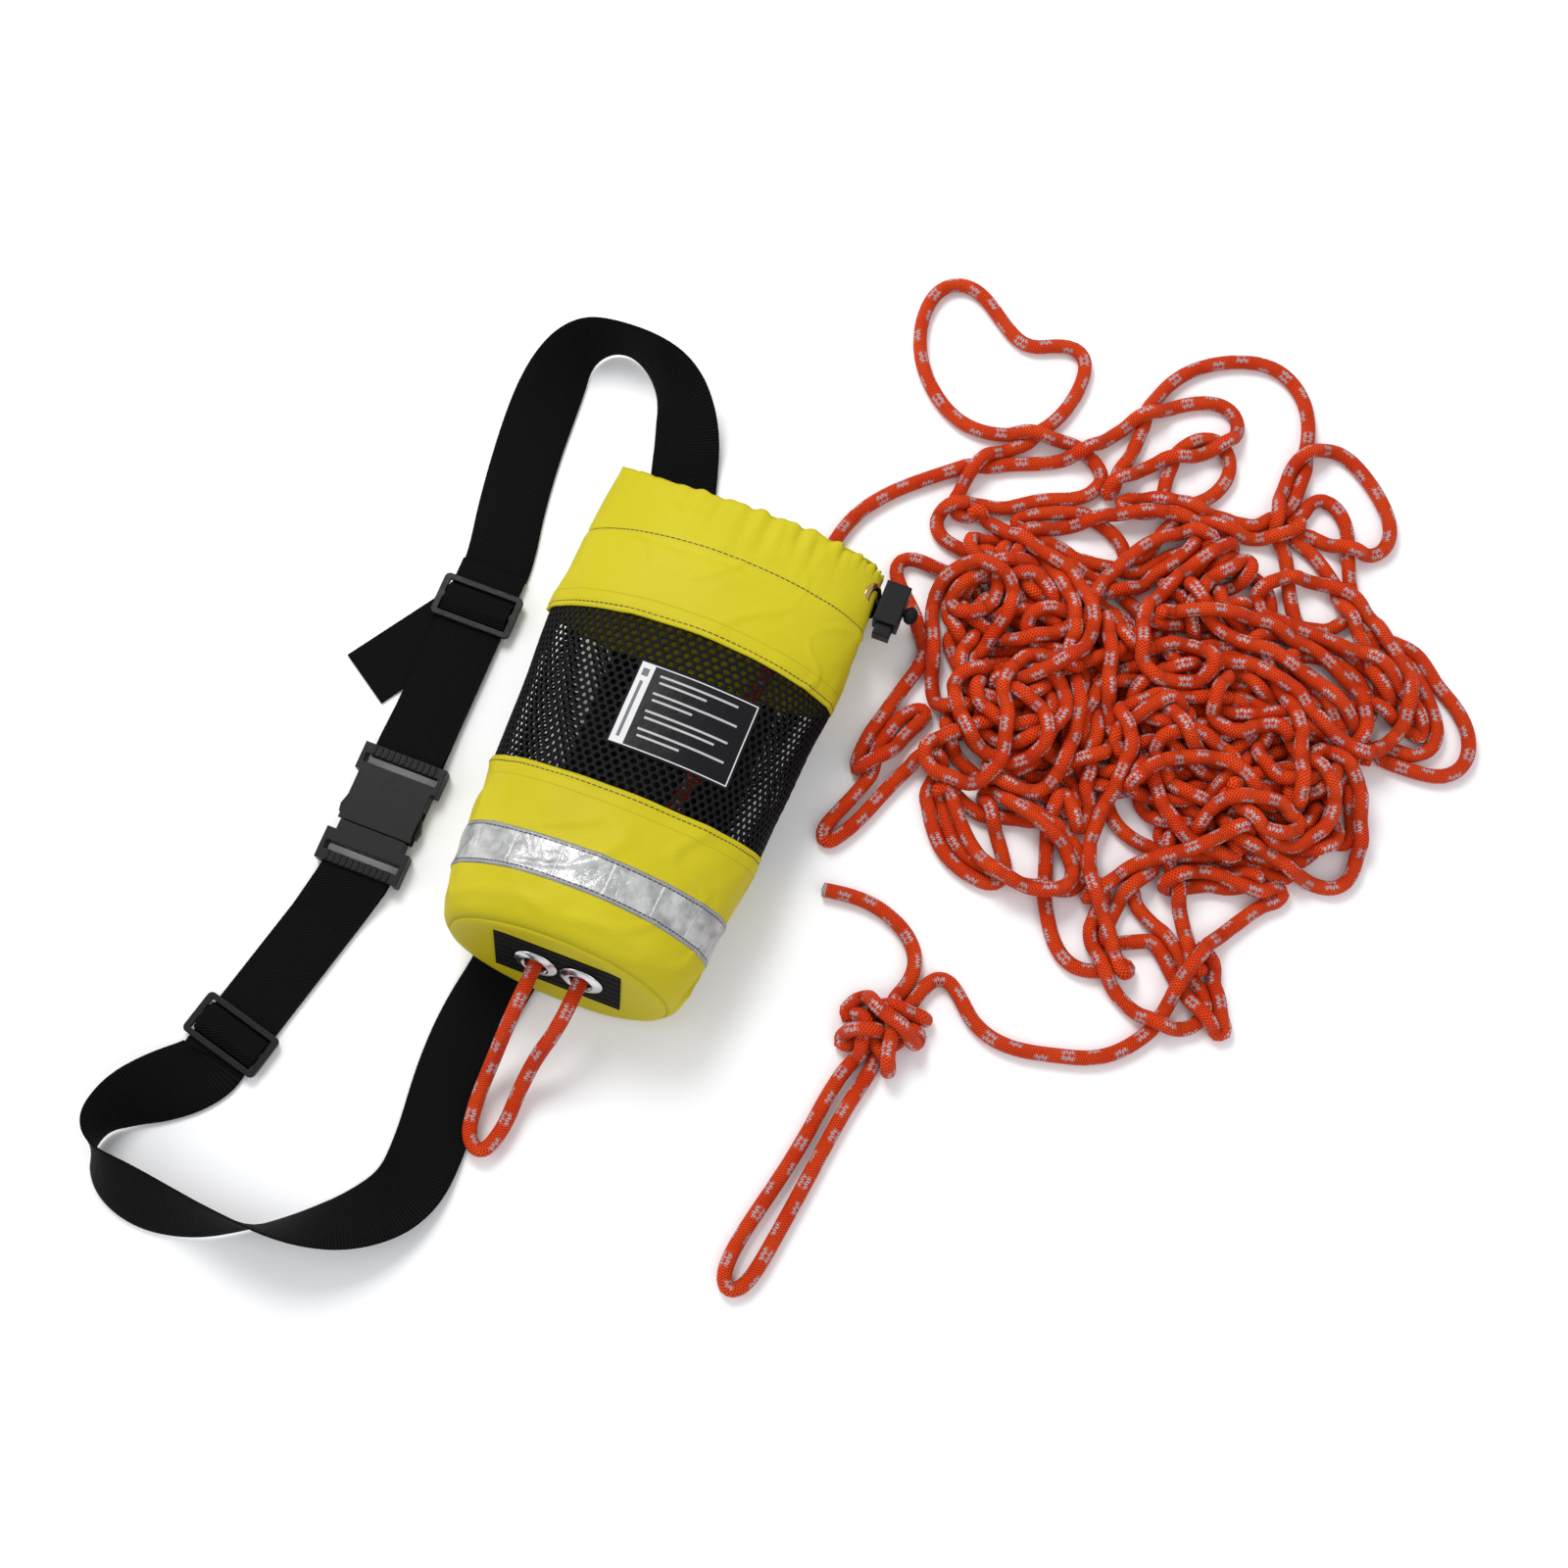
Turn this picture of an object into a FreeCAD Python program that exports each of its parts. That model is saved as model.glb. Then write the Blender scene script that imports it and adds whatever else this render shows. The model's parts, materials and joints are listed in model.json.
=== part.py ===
"""Throw rope bag: a roll of nylon and mesh with a foam float and a hard eyeleted base, a waist
belt with a side-release buckle behind it, and a floating rope that runs out of its mouth.

Frame: millimetres, +Z up, the bag lies on its back sleeve on z = 0. +Y runs from the base to the
mouth, the origin is on the underside of the back sleeve.
"""
import FreeCAD, Part
import math
import os
from FreeCAD import Placement, Rotation, Vector

doc = FreeCAD.newDocument("ThrowRopeBag")
sheet = doc.addObject("Spreadsheet::Sheet", "Sizes")

# ---------------------------------------------------------------------------------------------
# Driving dimensions
# ---------------------------------------------------------------------------------------------
# Sections of the filled bag: name, place along +Y, half width, half height, lean of its plane.
SECTIONS = [
    ("mouth", 129, 78, 22, 0),
    ("shoulder", 84, 80, 29, 0),
    ("chest", 33, 80.5, 33, 0),
    ("middle", -8, 78, 35, 0),
    ("waist", -46, 75.5, 36.5, 0),
    ("band_place", -98, 70.5, 40.5, 5),
    ("rump", -131, 66.5, 42.5, 11),
    ("base", -143, 60, 38, 13),
]
OTHER_SIZES = {
    "fabric": 1.2,              # wall of the nylon and the mesh
    "underside": 3.8,           # height of the bag's flat underside, above its back sleeve
    "crown_gap": 1.5,           # the sections' lowest points, before the underside is flattened
    "mesh_top": 37,
    "mesh_bottom": -52,
    "hem_depth": 44,            # from the mouth's rim down to the drawcord channel's stitching
    "hem_gap": 7.4,             # from the outer face of the wall to the outer face of the inner hem
    "band_height": 25,
    "band_foot": -116,
    "band_thickness": 0.6,
    "seam_setback": 7,          # base seam, measured in from the base's end face
    "base_tilt": 13,
    "patch_long": 70,
    "patch_high": 42,
    "patch_thick": 1.5,
    "eyelet_spacing": 25.2,
    "eyelet_shift": 1,
    "eyelet_bore": 6.2,
    "eyelet_flange": 12,
    "eyelet_wall": 0.8,
    "eyelet_thick": 1.2,
    "washer_flange": 11,
    "float_half_width": 54,
    "float_half_height": 30,
    "float_thick": 16,
    "float_setback": 4,
    "rope_thick": 8,
    "sleeve_left": -46,
    "sleeve_width": 96,
    "sleeve_half_length": 60,
    "sleeve_height": 3.6,
    "sleeve_wall": 0.8,
    "label_left": -18,
    "label_foot": -30,
    "label_wide": 67,
    "label_tall": 50,
    "label_thick": 0.6,
    "cord_thick": 3,
    "cord_place": 108,
    "cord_pair": 3.6,
    "grommet_bore": 5,
    "grommet_flange": 10,
    "grommet_thick": 1.2,
    "grommet_wall": 0.6,
    "lock_wide": 14,
    "lock_long": 24,
    "lock_fore": 11,            # from the lock's open end to the drawcord
    "lock_high": 13,
    "lock_wall": 2,
    "lock_travel": 4,
    "webbing": 38,
    "webbing_thick": 1.4,
    "belt_line": -127,
    "buckle_place": -95,
    "buckle_wide": 48,
    "glide_wide": 47,
    "glide_long": 25,
    "glide_rail": 3.2,
    "glide_window": 40,
    "glide_thick": 2.5,
}


def fill_sheet():
    rows = list(OTHER_SIZES.items())
    for name, place, wide, high, lean in SECTIONS:
        rows += [(name + "_place_along", place), (name + "_half_width", wide)]
        rows += [(name + "_half_height", high), (name + "_lean", lean)]
    for number, (alias, value) in enumerate(rows, start=1):
        sheet.set(f"A{number}", alias)
        sheet.set(f"B{number}", str(value))
        sheet.setAlias(f"B{number}", alias)
    doc.recompute()


def size(alias):
    return float(sheet.get(alias))


fill_sheet()
ROPE = size("rope_thick")
X_AXIS, Y_AXIS, Z_AXIS = Vector(1, 0, 0), Vector(0, 1, 0), Vector(0, 0, 1)
parts = {}


# ---------------------------------------------------------------------------------------------
# Helpers: every helper makes document objects whose sizes are bound to the sheet
# ---------------------------------------------------------------------------------------------
def bind(obj, **expressions):
    for name, expression in expressions.items():
        obj.setExpression(name.replace("__", "."), expression)
    return obj


def box(name, long_x, long_y, long_z, corner, turn=None):
    obj = doc.addObject("Part::Box", name)
    obj.Placement = turn or Placement()
    bind(obj, Length=long_x, Width=long_y, Height=long_z)
    if turn is None:
        bind(obj, Placement__Base__x=corner[0], Placement__Base__y=corner[1], Placement__Base__z=corner[2])
    return obj


def cylinder(name, radius, length, placement):
    obj = doc.addObject("Part::Cylinder", name)
    bind(obj, Radius=radius, Height=length)
    obj.Placement = placement
    return obj


def cut(name, base, tool):
    obj = doc.addObject("Part::Cut", name)
    obj.Base, obj.Tool = base, tool
    return obj


def fuse(name, *shapes):
    obj = doc.addObject("Part::MultiFuse", name)
    obj.Shapes = list(shapes)
    return obj


def piece(node, obj):
    obj.Label = node
    parts[node] = obj
    return obj


def shaped(node, shape, placement=None):
    obj = doc.addObject("Part::Feature", "Solid_" + node)
    obj.Shape = shape
    if placement is not None:
        obj.Placement = placement
    return piece(node, obj)


def prism(outline, low, high):
    """Straight prism of a closed outline in X and Y between two heights."""
    points = [Vector(x, y, low) for x, y in outline]
    face = Part.Face(Part.makePolygon(points + points[:1]))
    return face.extrude(Vector(0, 0, high - low))


def profile_strip(outline, half_width):
    """A strip of webbing seen from its edge: a closed outline in Y and Z, as wide as the webbing."""
    points = [Vector(-half_width, y, z) for y, z in outline]
    face = Part.Face(Part.makePolygon(points + points[:1]))
    return face.extrude(Vector(2 * half_width, 0, 0))


# ---------------------------------------------------------------------------------------------
# Bag: lofted sections, the same ones a little smaller for every inner face
# ---------------------------------------------------------------------------------------------
def bag_form(inset, open_mouth=False):
    """The bag's outer form, inset by a distance, before its underside is flattened."""
    rings = []
    for section, *rest in SECTIONS:
        place, wide, high = (size(f"{section}_{what}")
                             for what in ("place_along", "half_width", "half_height"))
        centre_z = high + size("crown_gap")
        if section == "mouth" and open_mouth:
            place += 3
        if section == "base":
            place += inset
        ring = Part.Ellipse(Vector(0, 0, 0), wide - inset, high - inset).toShape()
        ring.Placement = Placement(Vector(0, place, centre_z), Rotation(X_AXIS, 90 - size(section + "_lean")))
        rings.append(Part.Wire(ring))
    return Part.makeLoft(rings, True, False)


def stretch(form, inset, low, high):
    """The stretch of a form between two places along +Y, with its flat underside."""
    return form.common(Part.makeBox(400, high - low, 200, Vector(-200, low, size("underside") + inset)))


def wall_between(outer, outer_inset, inner, inner_inset, low, high):
    """The shell between two forms over a stretch, open at both of its ends."""
    inside = stretch(inner, inner_inset, low - 1, high + 1)
    return stretch(outer, outer_inset, low, high).cut(inside)


def base_frame(along, up=0.0, across=0.0):
    """A place on the leaning base: along runs into the bag, up its face."""
    lean = math.radians(size("base_tilt"))
    centre_z = size("base_half_height") + size("crown_gap")
    return Vector(across, size("base_place_along") + along * math.cos(lean) + up * math.sin(lean),
                  centre_z - along * math.sin(lean) + up * math.cos(lean))


BASE_TURN = Rotation(X_AXIS, -size("base_tilt"))
INTO_BAG = Rotation(X_AXIS, -90 - size("base_tilt"))
EYELETS = {"left": size("eyelet_shift") - size("eyelet_spacing") / 2,
           "right": size("eyelet_shift") + size("eyelet_spacing") / 2}


def eyelet_tools(name, radius):
    """Two straight cylinders through the base, one on each eyelet's line."""
    tools = [cylinder(f"{name}_{side}", radius, "60", Placement(base_frame(-20, 0, across), INTO_BAG))
             for side, across in EYELETS.items()]
    return fuse(name, *tools)


def bag_panels():
    fabric, gap = size("fabric"), size("hem_gap")
    mouth, mesh_top, mesh_bottom = size("mouth_place_along"), size("mesh_top"), size("mesh_bottom")
    outer, inner = bag_form(0), bag_form(fabric, True)
    eyelet = size("eyelet_bore") + size("eyelet_wall") + 0.1

    upper = wall_between(outer, 0, inner, fabric, mesh_top, mouth - 0.2)
    hole = Part.makeCylinder(size("grommet_bore") + size("grommet_wall") + 0.1, 30,
                             Vector(65, size("cord_place"), cord_height()), X_AXIS)
    shaped("upper_panel", upper.cut(hole))
    shaped("mesh_panel", wall_between(outer, 0, inner, fabric, mesh_bottom, mesh_top))

    lower = wall_between(outer, 0, inner, fabric, -200, mesh_bottom)
    seam = Part.makeBox(400, 200, 400)
    seam.Placement = Placement(base_frame(size("seam_setback"), -200, -200)
                               - BASE_TURN.multVec(Vector(0, 200, 0)), BASE_TURN)
    shaped("lower_panel", lower.cut(seam))
    cap = lower.common(seam)
    for across in EYELETS.values():
        cap = cap.cut(Part.makeCylinder(eyelet, 60, base_frame(-20, 0, across), INTO_BAG.multVec(Z_AXIS)))
    shaped("base_panel", cap)

    band, foot = size("band_thickness"), size("band_foot")
    top = foot + size("band_height")
    shaped("reflective_band", wall_between(bag_form(-band), -band, outer, 0, foot, top))

    label_block = Part.makeBox(size("label_wide"), size("label_tall"), 100,
                               Vector(size("label_left"), size("label_foot"), 45))
    shaped("warning_label", bag_form(-size("label_thick")).common(label_block).cut(outer))

    foot, top = mouth - size("hem_depth"), mouth - 0.3
    hem = wall_between(inner, fabric, bag_form(gap + fabric, True), gap + fabric, foot, top)
    space = wall_between(inner, fabric, bag_form(gap, True), gap, foot + fabric, top - fabric)
    shaped("drawcord_channel", hem.cut(space))


def cord_height():
    """Height of the bag's centre line where the drawcord runs."""
    share = (size("cord_place") - size("shoulder_place_along")) / (
        size("mouth_place_along") - size("shoulder_place_along"))
    high = size("shoulder_half_height") * (1 - share) + size("mouth_half_height") * share
    return high + size("crown_gap")


# ---------------------------------------------------------------------------------------------
# Base: webbing patch, eyelets, foam float
# ---------------------------------------------------------------------------------------------
def base_pieces():
    thick = size("patch_thick")
    patch = box("patch_box", "Sizes.patch_long", "Sizes.patch_thick", "Sizes.patch_high", None,
                Placement(base_frame(-thick, -size("patch_high") / 2, -size("patch_long") / 2), BASE_TURN))
    piece("base_patch", cut("patch_cut", patch, eyelet_tools(
        "patch_holes", "Sizes.eyelet_bore + Sizes.eyelet_wall + 0.1")))
    for side, across in EYELETS.items():
        start = -thick - size("eyelet_thick")
        barrel_length = "Sizes.patch_thick + Sizes.eyelet_thick * 2 + Sizes.fabric + 0.6"
        flange = cylinder(f"flange_{side}", "Sizes.eyelet_flange", "Sizes.eyelet_thick",
                          Placement(base_frame(start, 0, across), INTO_BAG))
        barrel = cylinder(f"barrel_{side}", "Sizes.eyelet_bore + Sizes.eyelet_wall", barrel_length,
                          Placement(base_frame(start, 0, across), INTO_BAG))
        bore = cylinder(f"bore_{side}", "Sizes.eyelet_bore", "20",
                        Placement(base_frame(start - 5, 0, across), INTO_BAG))
        blank = fuse(f"eyelet_blank_{side}", flange, barrel)
        piece(f"base_eyelet_{side}", cut(f"eyelet_{side}", blank, bore))
        washer_place = base_frame(size("fabric"), 0, across)
        washer = cylinder(f"washer_blank_{side}", "Sizes.washer_flange", "Sizes.eyelet_thick",
                          Placement(washer_place, INTO_BAG))
        washer_bore = cylinder(f"washer_bore_{side}", "Sizes.eyelet_bore + Sizes.eyelet_wall", "20",
                               Placement(washer_place, INTO_BAG))
        piece(f"base_washer_{side}", cut(f"washer_{side}", washer, washer_bore))

    ellipse = doc.addObject("Part::Ellipse", "float_outline")
    bind(ellipse, MajorRadius="Sizes.float_half_width", MinorRadius="Sizes.float_half_height")
    ellipse.Placement = Placement(base_frame(size("float_setback")), INTO_BAG)
    disc = doc.addObject("Part::Extrusion", "float_disc")
    disc.Base = ellipse
    disc.DirMode = "Normal"
    disc.Solid = True
    bind(disc, LengthFwd="Sizes.float_thick")
    piece("foam_float", cut("float_cut", disc, eyelet_tools("float_holes", "Sizes.rope_thick / 2 + 0.6")))


# ---------------------------------------------------------------------------------------------
# Ropes: straight runs joined by arcs as large as the runs allow
# ---------------------------------------------------------------------------------------------
def rounded_path(points):
    """Wire through the route with each corner rounded, its length, and its tightest radius."""
    corners = [Vector(*point) for point in points]
    edges, tightest, here = [], math.inf, corners[0]
    for before, corner, after in zip(corners, corners[1:], corners[2:]):
        arrive, leave = corner - before, after - corner
        half_turn = arrive.getAngle(leave) / 2
        reach = 0.45 * min(arrive.Length, leave.Length)
        radius = reach / math.tan(half_turn)
        tightest = min(tightest, radius)
        start = corner - Vector(arrive).normalize() * reach
        end = corner + Vector(leave).normalize() * reach
        inward = (Vector(leave).normalize() - Vector(arrive).normalize()).normalize()
        middle = corner + inward * (radius / math.cos(half_turn) - radius)
        edges.append(Part.LineSegment(here, start).toShape())
        edges.append(Part.Arc(start, middle, end).toShape())
        here = end
    edges.append(Part.LineSegment(here, corners[-1]).toShape())
    return Part.Wire(edges), tightest


def tube(node, points, thick):
    path, tightest = rounded_path(points)
    start, heading = Vector(*points[0]), Vector(*points[1]) - Vector(*points[0])
    section = Part.Wire(Part.Circle(start, heading, thick / 2).toShape())
    solid = path.makePipeShell([section], True, False)
    expected = math.pi * thick ** 2 / 4 * path.Length
    lowest = solid.optimalBoundingBox(False).ZMin
    print(f"{node}: length {path.Length:.0f}, tightest radius {tightest:.1f}, "
          f"volume {solid.Volume / expected:.4f} of section x length, lowest {lowest:.2f}")
    return shaped(node, solid)


FLOOR_LINE = ROPE / 2 + 0.1
# The rope inside the bag, from the knot behind the float out of the mouth to the heap.
BAG_RUN = [(12, -106, 36), (15, -80, 21), (18, -45, 12), (24, -8, 11), (34, 28, 12), (41, 64, 15),
           (42, 98, 19), (42, 130, 19), (46, 158, 13), (60, 182, 7), (84, 203, 6), (112, 222, 8)]
# Loops of rope that lie clear of the heap.
FAR_LOOP = [(97, 205, 9), (104, 221, 13.5), (120, 236, 14), (136, 254, 13.5), (143, 280, 7),
            (139, 305, FLOOR_LINE), (116, 302, FLOOR_LINE), (96, 297, FLOOR_LINE), (78, 314, FLOOR_LINE),
            (55, 328, FLOOR_LINE), (38, 308, FLOOR_LINE), (41, 280, FLOOR_LINE), (56, 252, FLOOR_LINE),
            (84, 231, FLOOR_LINE), (112, 236, FLOOR_LINE), (140, 250, FLOOR_LINE), (167, 240, 6)]
TOP_LOOP = [(182, 238, 12), (185, 262, 14), (181, 288, 12), (192, 315, 6), (220, 333, FLOOR_LINE),
            (250, 338, FLOOR_LINE), (271, 317, FLOOR_LINE), (277, 288, FLOOR_LINE), (278, 262, FLOOR_LINE),
            (277, 240, 6)]
RIGHT_LOOP = [(266, 240, 13), (267, 262, 14), (271, 284, 14), (286, 302, 13), (306, 292, 7),
              (322, 282, FLOOR_LINE), (337, 264, FLOOR_LINE), (337, 242, FLOOR_LINE), (316, 237, 6)]
LOCK_LOOP = [(112, 112, 8), (99, 122, 5), (86, 130, FLOOR_LINE), (77, 143, FLOOR_LINE), (86, 153, FLOOR_LINE),
             (102, 149, 6)]
LEFT_LOOP = [(114, 62, 14), (113, 38, 11), (108, 15, 6), (101, -8, FLOOR_LINE), (107, -21, FLOOR_LINE),
             (118, -4, FLOOR_LINE), (124, 20, 6), (130, 42, 10)]
END_RUN = [(306, -12, 7), (303, -36, FLOOR_LINE), (299, -61, FLOOR_LINE), (281, -81, FLOOR_LINE),
           (257, -85, FLOOR_LINE), (231, -94, FLOOR_LINE), (207, -89, FLOOR_LINE), (194, -71, FLOOR_LINE),
           (182, -66, 6), (173, -78, 10), (169, -95, 13)]
TAIL = [(110, -47, FLOOR_LINE), (128, -43, FLOOR_LINE), (150, -47, FLOOR_LINE), (168, -59, FLOOR_LINE),
        (172, -78, 7), (169, -96, 12)]
HAND_LOOP = [(156, -118, 12), (151, -138, 7), (150, -164, FLOOR_LINE), (143, -200, FLOOR_LINE),
             (134, -235, FLOOR_LINE), (134, -256, FLOOR_LINE), (143, -264, FLOOR_LINE),
             (150, -246, FLOOR_LINE), (154, -206, FLOOR_LINE), (161, -164, FLOOR_LINE), (164, -140, 7),
             (166, -119, 12)]


def base_loop_route():
    """Out through the left eyelet, down over the belt in a long loop, back in through the right."""
    inside = size("float_setback") + size("float_thick") + 6
    left, right = EYELETS["left"], EYELETS["right"]
    start, gate_left = base_frame(inside, 0, left), base_frame(-12, 0, left)
    end, gate_right = base_frame(inside, 0, right), base_frame(-12, 0, right)
    outside = [(-14, -178, 33), (-17, -197, 14), (-18, -218, 8), (-15, -238, 7), (-4, -243, 7), (1, -226, 7),
               (1, -206, 9), (4, -189, 20), (11, -173, 36)]
    return [tuple(start), tuple(gate_left)] + outside + [tuple(gate_right), tuple(end)]


def ellipsoid(name, placement, along_x, along_y, along_z):
    obj = doc.addObject("Part::Ellipsoid", name)
    obj.Radius1, obj.Radius2, obj.Radius3 = along_z, along_x, along_y
    obj.Angle1, obj.Angle2, obj.Angle3 = -90, 90, 360
    obj.Placement = placement
    return obj


def heap(node, outline, heights_and_scales):
    """A closed solid round a heap of turns: its outline at a few heights, drawn in towards the top."""
    centre_x = sum(x for x, y in outline) / len(outline)
    centre_y = sum(y for x, y in outline) / len(outline)
    wires = []
    for height, scale in heights_and_scales:
        ring = [Vector(centre_x + (x - centre_x) * scale, centre_y + (y - centre_y) * scale, height)
                for x, y in outline]
        wires.append(Part.makePolygon(ring + ring[:1]))
    return shaped(node, Part.makeLoft(wires, True, True))


def ropes():
    tube("rope_bag_run", BAG_RUN, ROPE)
    tube("rope_base_loop", base_loop_route(), ROPE)
    for node, route in (("rope_far_loop", FAR_LOOP), ("rope_top_loop", TOP_LOOP),
                        ("rope_right_loop", RIGHT_LOOP), ("rope_lock_loop", LOCK_LOOP),
                        ("rope_left_loop", LEFT_LOOP), ("rope_end_run", END_RUN),
                        ("rope_tail", TAIL), ("rope_hand_loop", HAND_LOOP)):
        tube(node, route, ROPE)
    knot_place = size("float_setback") + size("float_thick") + 15
    base_knot_place = Placement(base_frame(knot_place, -2), BASE_TURN)
    piece("rope_base_knot", ellipsoid("base_knot", base_knot_place, 23, 13, 14))
    loop_knot_place = Placement(Vector(165, -107, 14), Rotation())
    piece("hand_loop_knot", ellipsoid("loop_knot", loop_knot_place, 21, 21, 13.8))

    heap_outline = [(106, 92), (112, 120), (98, 150), (94, 190), (112, 222), (150, 238), (200, 243),
                    (250, 243), (300, 240), (345, 216), (378, 182), (388, 150), (376, 120), (370, 90),
                    (374, 60), (345, 50), (326, 22), (290, 6), (250, 8), (222, 18), (196, 26), (168, 2),
                    (146, 20), (132, 44), (112, 62)]
    heap("rope_heap", heap_outline, ((0, 0.98), (8, 1.0), (20, 0.95), (31, 0.66)))
    top_outline = [(160, 240), (168, 262), (190, 290), (208, 304), (234, 304), (244, 284), (245, 258),
                   (236, 242)]
    heap("rope_top_turns", top_outline, ((0, 0.98), (6, 1.0), (17, 0.92)))
    side_outline = [(372, 188), (396, 184), (414, 166), (418, 146), (408, 128), (384, 126), (370, 140),
                    (366, 168)]
    heap("rope_side_turns", side_outline, ((0, 0.98), (6, 1.0), (16, 0.92)))
    foot_outline = [(212, 16), (222, -10), (230, -36), (262, -46), (296, -62), (336, -58), (338, -40),
                    (326, -6), (322, 18), (290, 8), (250, 8)]
    heap("rope_foot_turns", foot_outline, ((0, 0.98), (6, 1.0), (17, 0.9)))


# ---------------------------------------------------------------------------------------------
# Mouth: drawcord, brass grommet, cord lock
# ---------------------------------------------------------------------------------------------
def drawcord_route():
    """Both ends leave through the grommet, side by side, and the cord goes round in the hem."""
    height, pair, place = cord_height(), size("cord_pair") / 2, size("cord_place")
    middle = (size("fabric") + size("hem_gap")) / 2
    high = height - size("crown_gap") - 0.8 - middle
    wide = size("mouth_half_width") - 2.2 - middle
    lowest = size("underside") + middle
    round_hem = []
    for degrees in (28, 50, 72, 94, 116, 138, 158, 172, 188, 202, 224, 250, 290, 314, 334):
        angle = math.radians(degrees)
        level = max(height + high * math.sin(angle), lowest)
        round_hem.append((wide * math.cos(angle), place, level))
    outer_end = size("mouth_half_width") + 26
    near = size("mouth_half_width") + 3
    inner, spread = size("mouth_half_width") - 4, 1.7 * pair
    return ([(outer_end, place, height + pair), (near, place, height + pair), (inner, place, height + spread)]
            + round_hem + [(inner, place, height - spread), (near, place, height - pair),
                           (outer_end, place, height - pair)])


def mouth_pieces():
    height, place = cord_height(), size("cord_place")
    face = size("mouth_half_width") + 1.6
    along_x = Rotation(Y_AXIS, 90)
    flange = cylinder("grommet_flange_blank", "Sizes.grommet_flange", "Sizes.grommet_thick",
                      Placement(Vector(face, place, height), along_x))
    barrel = cylinder("grommet_barrel", "Sizes.grommet_bore + Sizes.grommet_wall", "5",
                      Placement(Vector(face - 4, place, height), along_x))
    bore = cylinder("grommet_through", "Sizes.grommet_bore", "20",
                    Placement(Vector(face - 8, place, height), along_x))
    piece("drawcord_grommet", cut("grommet_cut", fuse("grommet_blank", flange, barrel), bore))
    tube("drawcord", drawcord_route(), size("cord_thick"))

    wide, long_y, high = size("lock_wide"), size("lock_long"), size("lock_high")
    left, foot = face + 3.4, place - size("lock_fore")
    body = box("lock_block", "Sizes.lock_wide", "Sizes.lock_long", "Sizes.lock_high",
               (str(left), str(foot), str(height - high / 2)))
    well = box("lock_well", "Sizes.lock_wide - 2 * Sizes.lock_wall", "Sizes.lock_long - Sizes.lock_wall",
               "Sizes.lock_high - 2 * Sizes.lock_wall",
               (str(left + 2), str(foot - 0.01), str(height - high / 2 + 2)))
    cord_hole = box("lock_cord_hole", "40", "Sizes.cord_thick + 0.8",
                    "Sizes.cord_thick + Sizes.cord_pair + 0.8",
                    (str(left - 10), str(place - 1.9), str(height - 3.7)))
    piece("cord_lock_body", cut("lock_cut", cut("lock_hollow", body, well), cord_hole))

    plunger_long = size("lock_fore") + size("lock_travel") + 7
    plunger_foot = foot - size("lock_travel") - 3
    plunger = box("plunger_block", "Sizes.lock_wide - 2 * Sizes.lock_wall - 0.6", str(plunger_long),
                  "Sizes.lock_high - 2 * Sizes.lock_wall - 0.6",
                  (str(left + 2.3), str(plunger_foot), str(height - high / 2 + 2.3)))
    slot = box("plunger_slot", "40", "Sizes.cord_thick + 0.8 + Sizes.lock_travel",
               "Sizes.cord_thick + Sizes.cord_pair + 0.8",
               (str(left - 10), str(place - 1.9 - size("lock_travel")), str(height - 3.7)))
    piece("cord_lock_plunger", cut("plunger_cut", plunger, slot))

    coil_radius, wire = 2.4, 0.7
    gap = long_y - size("lock_wall") + foot - plunger_foot - plunger_long
    spring_long = gap - wire - 0.2
    helix = Part.makeHelix(spring_long / 3.5, spring_long, coil_radius)
    start = Vector(coil_radius, 0, 0)
    ring = Part.Wire(Part.Circle(start, helix.Edges[0].tangentAt(0), wire / 2).toShape())
    spring = Part.Wire(helix.Edges).makePipeShell([ring], True, True)
    spring_foot = plunger_foot + plunger_long + wire / 2 + 0.1
    shaped("cord_lock_spring", spring, Placement(Vector(left + wide / 2, spring_foot, height),
                                                 Rotation(X_AXIS, -90)))
    piece("drawcord_knot", ellipsoid("cord_knot", Placement(
        Vector(left + wide + 4.2, place, height), Rotation()), 4, 5, 4.4))


# ---------------------------------------------------------------------------------------------
# Belt: webbing ribbons, folded loops, tri-glides, side-release buckle
# ---------------------------------------------------------------------------------------------
HALF_WEB = size("webbing") / 2
WEB = size("webbing_thick")
# Heights of the webbing's lower faces where it lies double at the upper slider.
TAIL_LEVEL, RETURN_LEVEL, TOP_LEVEL = 0.05, 0.05 + WEB + 0.3, 0.05 + 2 * (WEB + 0.3)
GLIDE_LEVEL = TOP_LEVEL + WEB + 0.3


def skinned(rings):
    """Closed solid of flat triangles over a row of four-cornered rings."""
    triangles = [(ring[i], ring[j], ring[k])
                 for ring in (rings[0], rings[-1]) for i, j, k in ((0, 1, 2), (0, 2, 3))]
    for ring, following in zip(rings, rings[1:]):
        for corner in range(4):
            beside = (corner + 1) % 4
            triangles.append((ring[corner], ring[beside], following[beside]))
            triangles.append((ring[corner], following[beside], following[corner]))
    shell = Part.Shell([Part.Face(Part.makePolygon([a, b, c, a])) for a, b, c in triangles])
    shell.sewShape()
    solid = Part.Solid(Part.Shell(shell.Faces))
    if solid.Volume < 0:
        solid.reverse()
    return solid


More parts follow.
